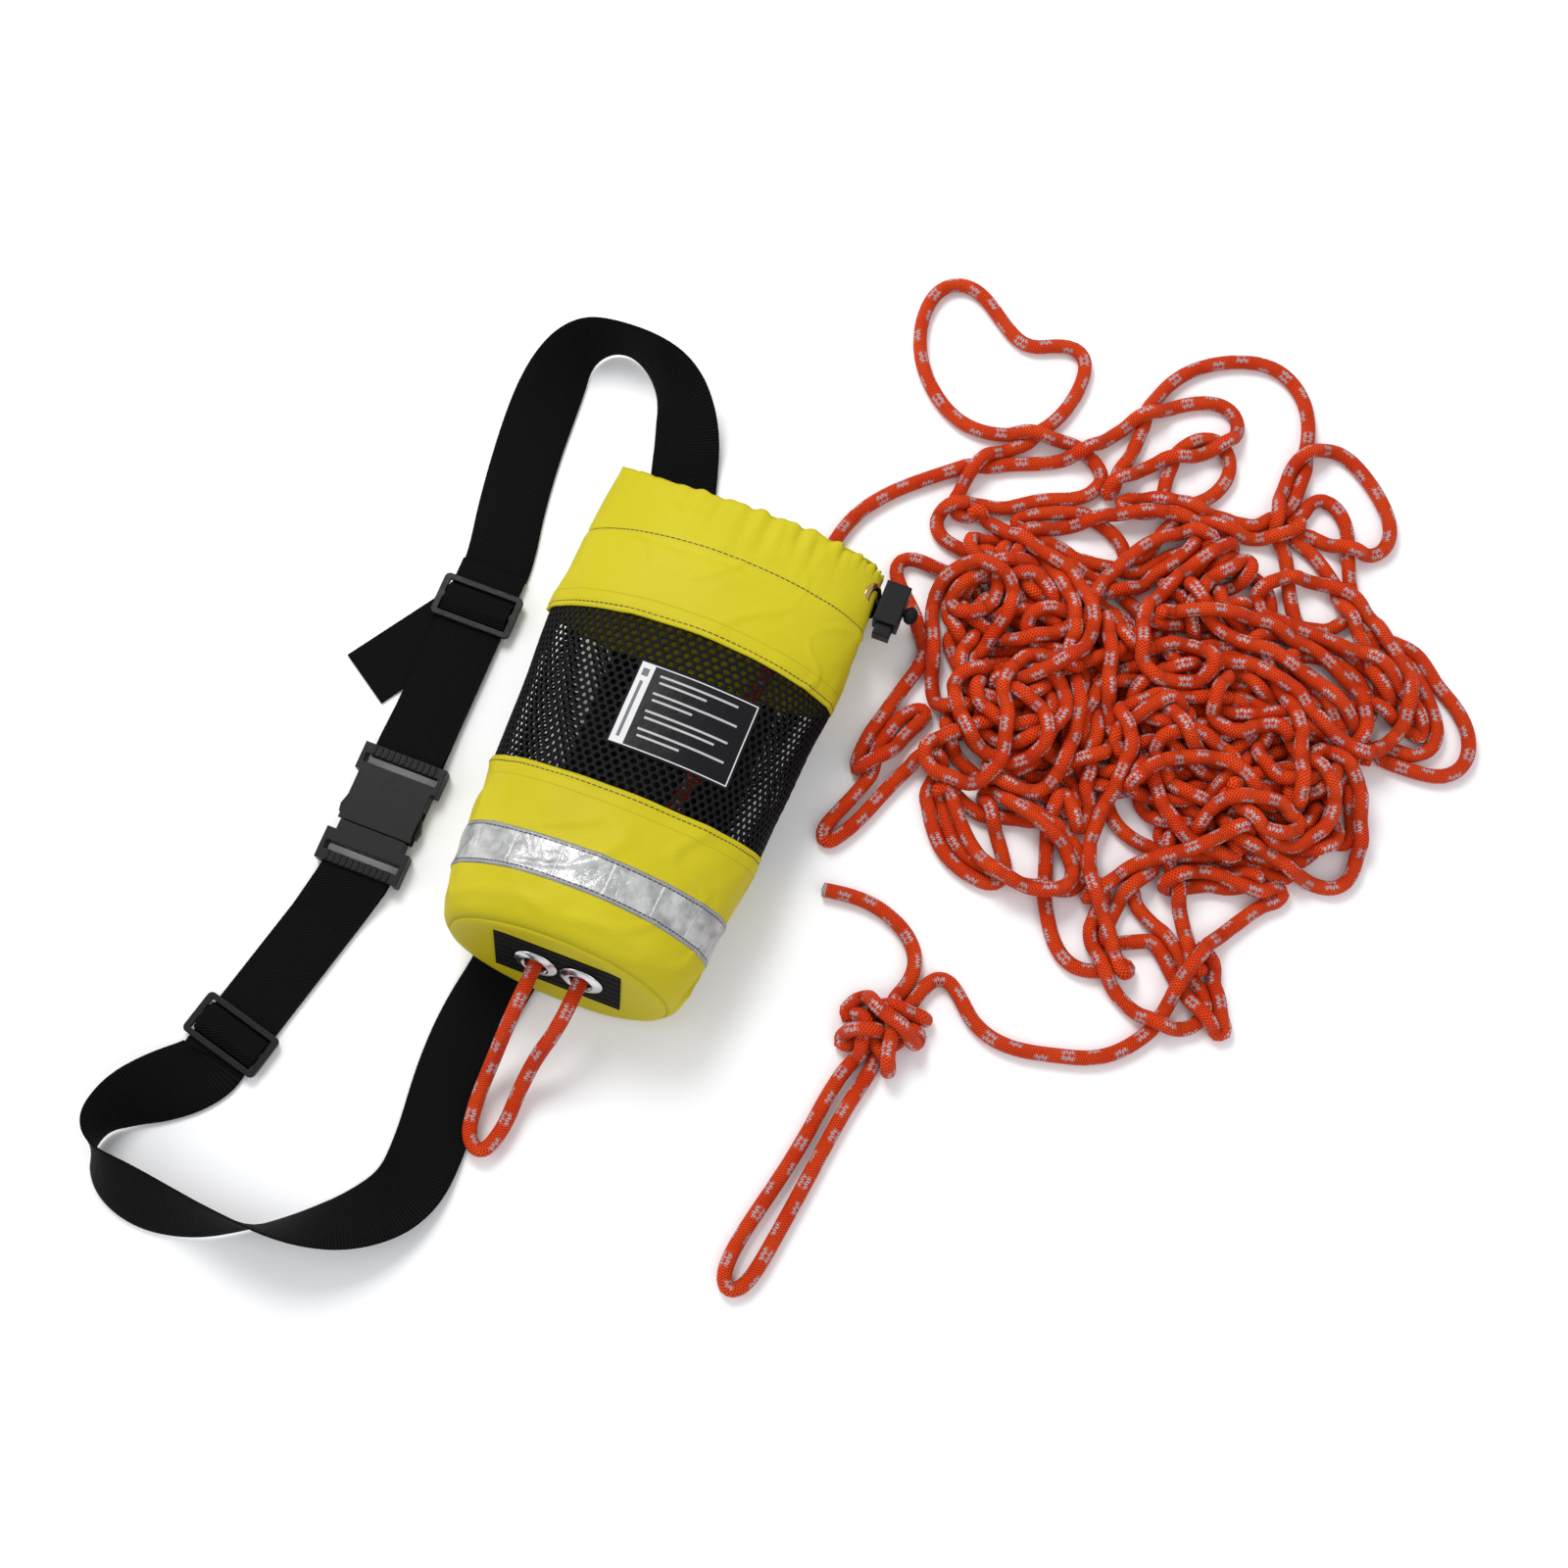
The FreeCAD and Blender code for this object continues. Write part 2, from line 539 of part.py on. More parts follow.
def ribbon(node, stations, base_level):
    """Webbing through stations (x, y, lean): lean rolls it from flat (0) to standing on its edge (90)."""
    centres = [Vector(x, y, base_level + WEB / 2 + HALF_WEB * abs(math.sin(math.radians(lean))))
               for x, y, lean in stations]
    rings = []
    for number, (station, centre) in enumerate(zip(stations, centres)):
        ahead = centres[min(number + 1, len(centres) - 1)]
        behind = centres[max(number - 1, 0)]
        tangent = Vector(ahead.x - behind.x, ahead.y - behind.y, 0).normalize()
        side = tangent.cross(Z_AXIS)
        lean = math.radians(station[2])
        across = side * math.cos(lean) + Z_AXIS * math.sin(lean)
        normal = across.cross(tangent)
        corners = [centre + across * HALF_WEB * i + normal * WEB / 2 * j
                   for i, j in ((-1, -1), (1, -1), (1, 1), (-1, 1))]
        rings.append(corners)
    return shaped(node, skinned(rings))


def strap_loop(node, place, bar_level, far_place, low_level, high_level, low_far, slope=0.0):
    """Webbing folded round a bar at the place and laid back double along +Y; past the bar it runs
    off to the side by the slope's angle, in degrees."""
    inner, outer, steps = 1.8, 1.8 + WEB, 8
    outside = [(low_far, low_level), (26, low_level), (8, bar_level - outer)]
    inside = [(low_far, low_level + WEB), (26, low_level + WEB), (8, bar_level - inner)]
    for step in range(steps + 1):
        angle = math.radians(270 - 180 * step / steps)
        outside.append((outer * math.cos(angle), bar_level + outer * math.sin(angle)))
        inside.append((inner * math.cos(angle), bar_level + inner * math.sin(angle)))
    outside += [(8, bar_level + outer), (30, high_level + WEB), (far_place, high_level + WEB)]
    inside += [(8, bar_level + inner), (30, high_level), (far_place, high_level)]
    rings = []
    for (y_out, z_out), (y_in, z_in) in zip(outside, inside):
        off = math.tan(math.radians(slope)) * max(0, y_out - 4.5)
        rings.append([Vector(off - HALF_WEB, y_in, z_in), Vector(off + HALF_WEB, y_in, z_in),
                      Vector(off + HALF_WEB, y_out, z_out), Vector(off - HALF_WEB, y_out, z_out)])
    return shaped(node, skinned(rings), place)


def tri_glide(node, placement, level):
    """Flat slider frame with a middle bar, in its own X (across the webbing) and Y."""
    wide, long_y, rail, thick = (size("glide_" + what) for what in ("wide", "long", "rail", "thick"))
    frame = Part.makeBox(wide, long_y, thick, Vector(-wide / 2, -long_y / 2, level))
    frame = frame.makeFillet(3, [edge for edge in frame.Edges if abs(edge.tangentAt(0).z) > 0.9])
    window = size("glide_window")
    slot_long = (long_y - 3 * rail) / 2
    for foot in (-long_y / 2 + rail, rail / 2):
        frame = frame.cut(Part.makeBox(window, slot_long, 20, Vector(-window / 2, foot, level - 5)))
    return shaped(node, frame, placement)


def bridge(node, placement, level):
    """The webbing's hump over a slider's middle bar."""
    low, high = level + 0.2, level + size("glide_thick") + 0.3
    outline = [(-8.2, low), (-7.4, low - 0.1), (-3.4, high), (3.4, high), (7.4, low - 0.1), (8.2, low),
               (8.0, low + WEB), (4.1, high + WEB), (-4.1, high + WEB), (-8.0, low + WEB)]
    return shaped(node, profile_strip(outline, HALF_WEB), placement)


BAR_LEVEL = 4.6
FEMALE_BAR, MALE_BAR = 31.5, -31.5          # bars, measured along the buckle from its middle


def buckle_place(along, across=0.0, level=0.0):
    return Vector(size("belt_line") + across, size("buckle_place") + along, level)


def block(across_low, across_high, along_low, along_high, low, high):
    """A block of the buckle, in its own axes."""
    corner = buckle_place(along_low, across_low, low)
    return Part.makeBox(across_high - across_low, along_high - along_low, high - low, corner)


def strap_end(sign):
    """One strap end of the buckle: side cheeks, the bar that the webbing goes round, the ribbed cap."""
    half = size("buckle_wide") / 2
    body_edge, cap_near, cap_far = sorted_along(sign, 22.5, 28.5, 34.5)
    low, high = min(body_edge, cap_far), max(body_edge, cap_far)
    solid = block(-half, -half + 2.6, low, high, 1.0, 10.0)
    solid = solid.fuse(block(half - 2.6, half, low, high, 1.0, 10.0))
    solid = solid.fuse(block(-half, half, min(cap_near, cap_far), max(cap_near, cap_far), 8.2, 10.0))
    bar = Part.makeCylinder(1.5, 2 * half - 2, buckle_place(sign * 31.5, -half + 1, BAR_LEVEL), X_AXIS)
    solid = solid.fuse(bar)
    for rib in range(11):
        across = -17.5 + 3.5 * rib
        solid = solid.fuse(block(across - 0.7, across + 0.7, min(cap_near, cap_far) + 0.4,
                                 max(cap_near, cap_far) - 0.4, 9.8, 10.6))
    return solid


def sorted_along(sign, *places):
    return [sign * place for place in places]


def buckle_halves():
    half = size("buckle_wide") / 2
    shell = block(-21, 21, -10, 23.5, 1.0, 10.0)
    shell = shell.fuse(block(-half, half, 19, 23.5, 1.0, 10.0))
    shell = shell.cut(block(-19, 19, -11, 17, 2.8, 8.2))
    for side in (-1, 1):
        low, high = sorted((side * 17.5, side * 25))
        shell = shell.cut(block(low, high, -11, 9, 2.8, 8.2))
    shaped("buckle_female", shell.fuse(strap_end(1)).removeSplitter())

    shoulder = block(-half, half, -23.5, -16.5, 1.0, 10.0).fuse(block(-19, 19, -17, -10.6, 1.0, 10.0))
    tongue = block(-3.2, 3.2, -12, 14, 3.3, 7.7)
    shaped("buckle_male", shoulder.fuse(tongue).fuse(strap_end(-1)).removeSplitter())

    for side, name in ((-1, "left"), (1, "right")):
        outline = [(9.5, -10.2), (14.5, -10.2), (17.8, -7), (22.6, -6.4), (23.4, -2), (21.5, 4.5), (16.8, 8),
                   (14.2, 7.4), (13.2, 0)]
        points = [buckle_place(along, side * across, 3.3) for across, along in outline]
        face = Part.Face(Part.makePolygon(points + points[:1]))
        shaped(f"buckle_arm_{name}", face.extrude(Vector(0, 0, 4.4)))


UPPER_RUN = [(-50, 152, 4), (-58, 174, 22), (-72, 197, 55), (-95, 209, 80), (-115, 210, 80), (-131, 198, 68),
             (-139, 173, 38), (-139, 138, 6), (-134, 98, 0), (-127, 59, 0)]
LOWER_RUN = [(-156.5, -247, 0), (-156.5, -250.5, 0), (-162, -259, 4), (-172, -270, 24), (-186, -285, 52),
             (-195, -303, 84), (-185, -321, 122), (-160, -328, 138), (-130, -327, 122), (-100, -320, 90),
             (-74, -311, 58), (-50, -297, 30), (-33, -276, 8), (-32, -248, 0), (-37, -210, 0),
             (-37, -180, 0), (-32, -149, 0)]
MIDDLE_RUN = [(-32, -148.7, 0), (-28, -105, 0), (-22, -58, 0), (-20, 0, 0), (-22, 58, 0), (-36, 102, 0),
              (-50, 151.7, 0)]


def belt():
    sleeve = box("sleeve_block", "Sizes.sleeve_width", "2 * Sizes.sleeve_half_length", "Sizes.sleeve_height",
                 ("Sizes.sleeve_left", "-Sizes.sleeve_half_length", "0"))
    passage = box("sleeve_passage", "Sizes.sleeve_width - 8", "400",
                  "Sizes.sleeve_height - 2 * Sizes.sleeve_wall",
                  ("Sizes.sleeve_left + 4", "-200", "Sizes.sleeve_wall"))
    piece("back_sleeve", cut("sleeve_cut", sleeve, passage))
    ribbon("belt_middle", MIDDLE_RUN, size("sleeve_wall") + 0.1)
    ribbon("belt_upper_run", UPPER_RUN, 0.9)
    ribbon("belt_lower_run", LOWER_RUN, 0.9)

    upper_slider = Placement(Vector(size("belt_line"), 34, 0), Rotation())
    tri_glide("tri_glide_upper", upper_slider, GLIDE_LEVEL)
    bridge("belt_fold_upper", upper_slider, GLIDE_LEVEL)
    female_bar = buckle_place(FEMALE_BAR)
    span = 58.6 - female_bar.y
    strap_loop("belt_upper_loop", Placement(female_bar, Rotation()), BAR_LEVEL, span, RETURN_LEVEL, TOP_LEVEL,
               46 - female_bar.y)
    tail_outline = [(-146, 44), (-110, 44), (-118, 24), (-155, -36), (-184, -17), (-148, 38)]
    shaped("belt_tail", prism(tail_outline, TAIL_LEVEL, TAIL_LEVEL + WEB))

    slope = 14
    lower_slider = Placement(Vector(-152.5, -233, 0), Rotation(Z_AXIS, 180 - slope))
    male_bar = buckle_place(MALE_BAR)
    tri_glide("tri_glide_lower", lower_slider, GLIDE_LEVEL - WEB - 0.3)
    bridge("belt_fold_lower", lower_slider, GLIDE_LEVEL - WEB - 0.3)
    strap_loop("belt_lower_loop", Placement(male_bar, Rotation(Z_AXIS, 180)), BAR_LEVEL, 120, TAIL_LEVEL,
               RETURN_LEVEL, 117, slope)
    buckle_halves()


# ---------------------------------------------------------------------------------------------
# Build, check, write
# ---------------------------------------------------------------------------------------------
def write_parts():
    doc.recompute()
    faults = [obj.Name for obj in doc.Objects if {"Invalid", "Error"} & set(obj.State)]
    faults += [node for node, obj in parts.items() if obj.Shape.isNull() or not obj.Shape.isValid()]
    if faults:
        raise RuntimeError("failed objects: " + ", ".join(faults))
    os.makedirs("parts", exist_ok=True)
    for node, obj in parts.items():
        obj.Shape.exportStep(f"parts/{node}.step")
        low = obj.Shape.BoundBox
        print(f"{node}: {len(obj.Shape.Solids)} solid, {obj.Shape.Volume:.0f} mm3, "
              f"z {low.ZMin:.2f} to {low.ZMax:.2f}")
    print(len(parts), "nodes")


bag_panels()
base_pieces()
belt()
mouth_pieces()
ropes()
write_parts()
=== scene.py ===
"""Looks of the throw rope bag: rope, belt, bag, net, band, label and fittings round the CAD frame."""
import json
import math

import bmesh
import bpy
import numpy as np
from mathutils import Matrix, Vector, noise

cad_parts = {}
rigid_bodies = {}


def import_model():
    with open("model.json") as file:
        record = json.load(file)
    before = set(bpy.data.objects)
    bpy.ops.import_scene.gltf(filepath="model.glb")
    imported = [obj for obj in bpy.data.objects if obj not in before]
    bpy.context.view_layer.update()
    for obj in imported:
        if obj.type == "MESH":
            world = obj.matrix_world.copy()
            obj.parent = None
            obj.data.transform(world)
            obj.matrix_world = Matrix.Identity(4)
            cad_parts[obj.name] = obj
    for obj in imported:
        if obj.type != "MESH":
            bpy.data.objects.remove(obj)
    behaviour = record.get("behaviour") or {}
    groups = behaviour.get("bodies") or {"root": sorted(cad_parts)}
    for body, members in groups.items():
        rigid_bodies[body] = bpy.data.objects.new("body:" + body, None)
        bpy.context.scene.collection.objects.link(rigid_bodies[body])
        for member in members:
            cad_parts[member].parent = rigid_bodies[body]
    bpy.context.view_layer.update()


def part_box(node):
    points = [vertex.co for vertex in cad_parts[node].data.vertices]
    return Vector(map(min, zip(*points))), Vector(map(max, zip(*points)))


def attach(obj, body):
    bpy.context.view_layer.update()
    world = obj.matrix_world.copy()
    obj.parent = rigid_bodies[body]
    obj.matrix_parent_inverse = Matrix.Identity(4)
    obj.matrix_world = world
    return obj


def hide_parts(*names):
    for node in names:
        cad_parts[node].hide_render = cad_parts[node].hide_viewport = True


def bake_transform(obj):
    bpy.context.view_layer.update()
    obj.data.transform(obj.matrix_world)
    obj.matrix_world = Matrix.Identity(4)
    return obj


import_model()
MM = 0.001
TAU = 2 * math.pi
ROPE = 8.0                  # rope diameter, mm
FLOOR_LINE = ROPE / 2 + 0.1  # height of the middle of a rope that lies on the floor
TRACER_CELL = 14            # length of rope, mm, from one group of tracer flecks to the next
STRAP_WIDTH, STRAP_THICK = 38.0, 1.4
STRAP_LEVEL = 0.9           # height of the strap's underside over the floor


# ---------------------------------------------------------------------------------------------
# Camera, light, floor
# ---------------------------------------------------------------------------------------------
def camera():
    place, target = Vector((187.1, -304.1, 1142.8)) * MM, Vector((68.6, 1.4, 0)) * MM
    back = (place - target).normalized()
    right = Vector((0.9323, 0.3616, 0)).normalized()
    up = back.cross(right).normalized()
    obj = bpy.data.objects.new("Camera", bpy.data.cameras.new("Camera"))
    bpy.context.scene.collection.objects.link(obj)
    obj.matrix_world = Matrix((right, up, back)).transposed().to_4x4()
    obj.location = place
    obj.data.lens = 50
    obj.data.sensor_width = 36
    obj.data.clip_start = 0.05
    bpy.context.scene.camera = obj


def area_light(name, place, target, wide, power, colour=(1, 1, 1)):
    data = bpy.data.lights.new(name, "AREA")
    data.shape, data.size, data.energy, data.color = "SQUARE", wide, power, colour
    obj = bpy.data.objects.new(name, data)
    bpy.context.scene.collection.objects.link(obj)
    obj.location = place
    obj.rotation_euler = (Vector(target) - Vector(place)).to_track_quat("-Z", "Y").to_euler()


def studio():
    world = bpy.data.worlds.new("Studio")
    bpy.context.scene.world = world
    world.use_nodes = True
    world.node_tree.nodes["Background"].inputs["Color"].default_value = (0.96, 0.97, 1.0, 1)
    world.node_tree.nodes["Background"].inputs["Strength"].default_value = 0.62
    centre = (0.1, 0.02, 0)
    area_light("Key", (-0.65, 0.75, 1.4), centre, 0.7, 19)
    area_light("Fill", (1.1, -0.5, 1.2), centre, 1.2, 6, (0.95, 0.97, 1.0))
    area_light("Low", (-1.2, -0.6, 0.8), centre, 0.8, 4)
    size, height = 6.0, -0.0002
    corners = [(-size, -size, height), (size, -size, height), (size, size, height), (-size, size, height)]
    floor = mesh_object("Floor", corners, [(0, 1, 2, 3)])
    shader = Shader("floor", (0.95, 0.95, 0.95), 0.9)
    floor.data.materials.append(shader.material)
    bpy.context.scene.view_settings.view_transform = "Standard"


# ---------------------------------------------------------------------------------------------
# Meshes
# ---------------------------------------------------------------------------------------------
def mesh_object(name, points, faces, smooth=True):
    mesh = bpy.data.meshes.new(name)
    mesh.from_pydata([tuple(p) for p in points], [], [tuple(f) for f in faces])
    if smooth:
        mesh.shade_smooth()
    obj = bpy.data.objects.new(name, mesh)
    bpy.context.scene.collection.objects.link(obj)
    return obj


def set_uv(obj, values):
    """One (u, v) for each face corner, in the order of the faces."""
    layer = obj.data.uv_layers.new(name="UVMap")
    layer.data.foreach_set("uv", np.asarray(values, np.float32).ravel())


def apply_modifiers(obj):
    graph = bpy.context.evaluated_depsgraph_get()
    mesh = bpy.data.meshes.new_from_object(obj.evaluated_get(graph))
    obj.modifiers.clear()
    obj.data = mesh
    return obj


# ---------------------------------------------------------------------------------------------
# Materials
# ---------------------------------------------------------------------------------------------
class Shader:
    """A Principled material with short names for the nodes that feed it."""

    def __init__(self, name, colour, roughness, metallic=0.0, specular=0.12):
        self.material = bpy.data.materials.new(name)
        self.material.use_nodes = True
        self.tree = self.material.node_tree
        self.base = self.tree.nodes["Principled BSDF"]
        self.base.inputs["Base Color"].default_value = (*colour, 1)
        self.base.inputs["Roughness"].default_value = roughness
        self.base.inputs["Metallic"].default_value = metallic
        self.base.inputs["Specular IOR Level"].default_value = specular

    def node(self, kind, inputs=(), **settings):
        made = self.tree.nodes.new(kind)
        for key, value in settings.items():
            setattr(made, key, value)
        for key, value in dict(inputs).items():
            self.feed(made.inputs[key], value)
        return made

    def feed(self, socket, value):
        if isinstance(value, bpy.types.NodeSocket):
            self.tree.links.new(value, socket)
        else:
            socket.default_value = value

    def math(self, operation, a, b=0.0, c=0.5, clamp=False):
        inputs = {0: a, 1: b, 2: c}
        return self.node("ShaderNodeMath", inputs, operation=operation, use_clamp=clamp).outputs[0]

    def near(self, value, centre, reach, soft):
        """1 where value is within reach of centre, 0 beyond it, with a soft edge."""
        off = self.math("ABSOLUTE", self.math("SUBTRACT", value, centre))
        return self.node("ShaderNodeMapRange", {0: off, 1: reach - soft, 2: reach + soft, 3: 1.0, 4: 0.0},
                         interpolation_type="SMOOTHSTEP").outputs[0]

    def ramp(self, value, *stops):
        made = self.node("ShaderNodeValToRGB", {0: value})
        elements = made.color_ramp.elements
        while len(elements) < len(stops):
            elements.new(0.5)
        for element, (place, colour) in zip(elements, stops):
            element.position, element.color = place, (*colour, 1)
        return made.outputs[0]

    def mix(self, share, a, b):
        made = self.node("ShaderNodeMix", data_type="RGBA")
        for socket, value in ((made.inputs[0], share), (made.inputs[6], a), (made.inputs[7], b)):
            if isinstance(value, tuple):
                value = (*value, 1)
            self.feed(socket, value)
        return made.outputs[2]

    def uv(self):
        split = self.node("ShaderNodeSeparateXYZ", {0: self.node("ShaderNodeUVMap").outputs[0]})
        return split.outputs[0], split.outputs[1]

    def place(self):
        """The point on the object at rest, in metres."""
        return self.node("ShaderNodeTexCoord").outputs["Object"]

    def noise(self, scale, detail=3.0, vector=None):
        return self.node("ShaderNodeTexNoise", {"Vector": vector or self.place(), "Scale": scale,
                                                "Detail": detail}).outputs["Fac"]

    def colour(self, value):
        self.feed(self.base.inputs["Base Color"], value)

    def roughness(self, value):
        self.feed(self.base.inputs["Roughness"], value)

    def bump(self, height, strength, depth, below=None):
        inputs = {"Height": height, "Strength": strength, "Distance": depth}
        if below is not None:
            inputs["Normal"] = below
        made = self.node("ShaderNodeBump", inputs).outputs[0]
        self.feed(self.base.inputs["Normal"], made)
        return made


def wave(shader, value, turns, phase=0.0):
    """A sine from 0 to 1 that repeats turns times as value goes from 0 to 1."""
    angle = shader.math("ADD", shader.math("MULTIPLY", value, TAU * turns), phase)
    return shader.math("MULTIPLY_ADD", shader.math("SINE", angle), 0.5, 0.5)


def rope_material(end):
    """Braid with grey tracer flecks; end is the u of the sealed tail end."""
    shader = Shader("rope_braid", (0.7, 0.05, 0.01), 0.5, specular=0.15)
    along, around = shader.uv()
    ribs = []
    for lay in (-1, 1):
        lead = shader.math("MULTIPLY", around, 8.0 * lay)
        slant = shader.math("ADD", shader.math("MULTIPLY", along, 10), lead)
        ribs.append(shader.math("SINE", shader.math("MULTIPLY", slant, TAU)))
    braid = shader.math("MULTIPLY_ADD", shader.math("MAXIMUM", *ribs), 0.5, 0.5)
    cell = shader.math("FLOOR", along)
    side = shader.math("FRACT", shader.math("MULTIPLY", cell, 0.37))
    turned = shader.math("FRACT", shader.math("ADD", shader.math("MULTIPLY", around, 2), side))
    zigzag = shader.math("MULTIPLY", shader.math("SINE", shader.math("MULTIPLY", along, TAU * 4.5)), 0.035)
    off = shader.math("ADD", shader.math("ABSOLUTE", shader.math("SUBTRACT", turned, 0.5)), zigzag)
    rows = shader.near(off, 0.14, 0.085, 0.025)
    stretch = shader.near(shader.math("FRACT", along), 0.42, 0.25, 0.04)
    dash_wave = shader.math("SINE", shader.math("MULTIPLY", along, TAU * 9))
    dashes = shader.node("ShaderNodeMapRange", {0: dash_wave, 1: -0.7, 2: -0.2, 3: 0.15, 4: 1.0})
    flecks = shader.math("MULTIPLY", shader.math("MULTIPLY", rows, stretch), dashes.outputs[0])
    tone = shader.noise(45, 2)
    orange = shader.ramp(tone, (0.3, (0.74, 0.046, 0.004)), (0.7, (0.88, 0.082, 0.009)))
    # The braid's grooves are painted a darker red: painted shade between the strands, which follows the bump
    # height.
    painted_groove_shade = shader.mix(shader.math("MULTIPLY", braid, 1.0, clamp=True), (0.42, 0.014, 0.001), orange)
    marked = shader.mix(flecks, painted_groove_shade, (0.52, 0.47, 0.50))
    shader.colour(shader.mix(shader.near(along, end, 0.12, 0.03), marked, (0.50, 0.44, 0.44)))
    shader.bump(braid, 1.0, 0.0009)
    return shader.material


# ---------------------------------------------------------------------------------------------
# Rope: the route of the one long strand, then its settling under gravity
# ---------------------------------------------------------------------------------------------
# From the knot behind the float through the bag, out of the mouth and up to the tangle.
BAG_RUN = [(12, -106, 36), (15, -80, 21), (18, -45, 12), (24, -8, 11), (34, 28, 12), (41, 64, 15),
           (42, 98, 19), (42, 130, 19), (46, 158, 13), (60, 180, 7), (84, 202, 5), (108, 220, 8),
           (134, 227, 12), (155, 239, 13), (166, 256, 11)]
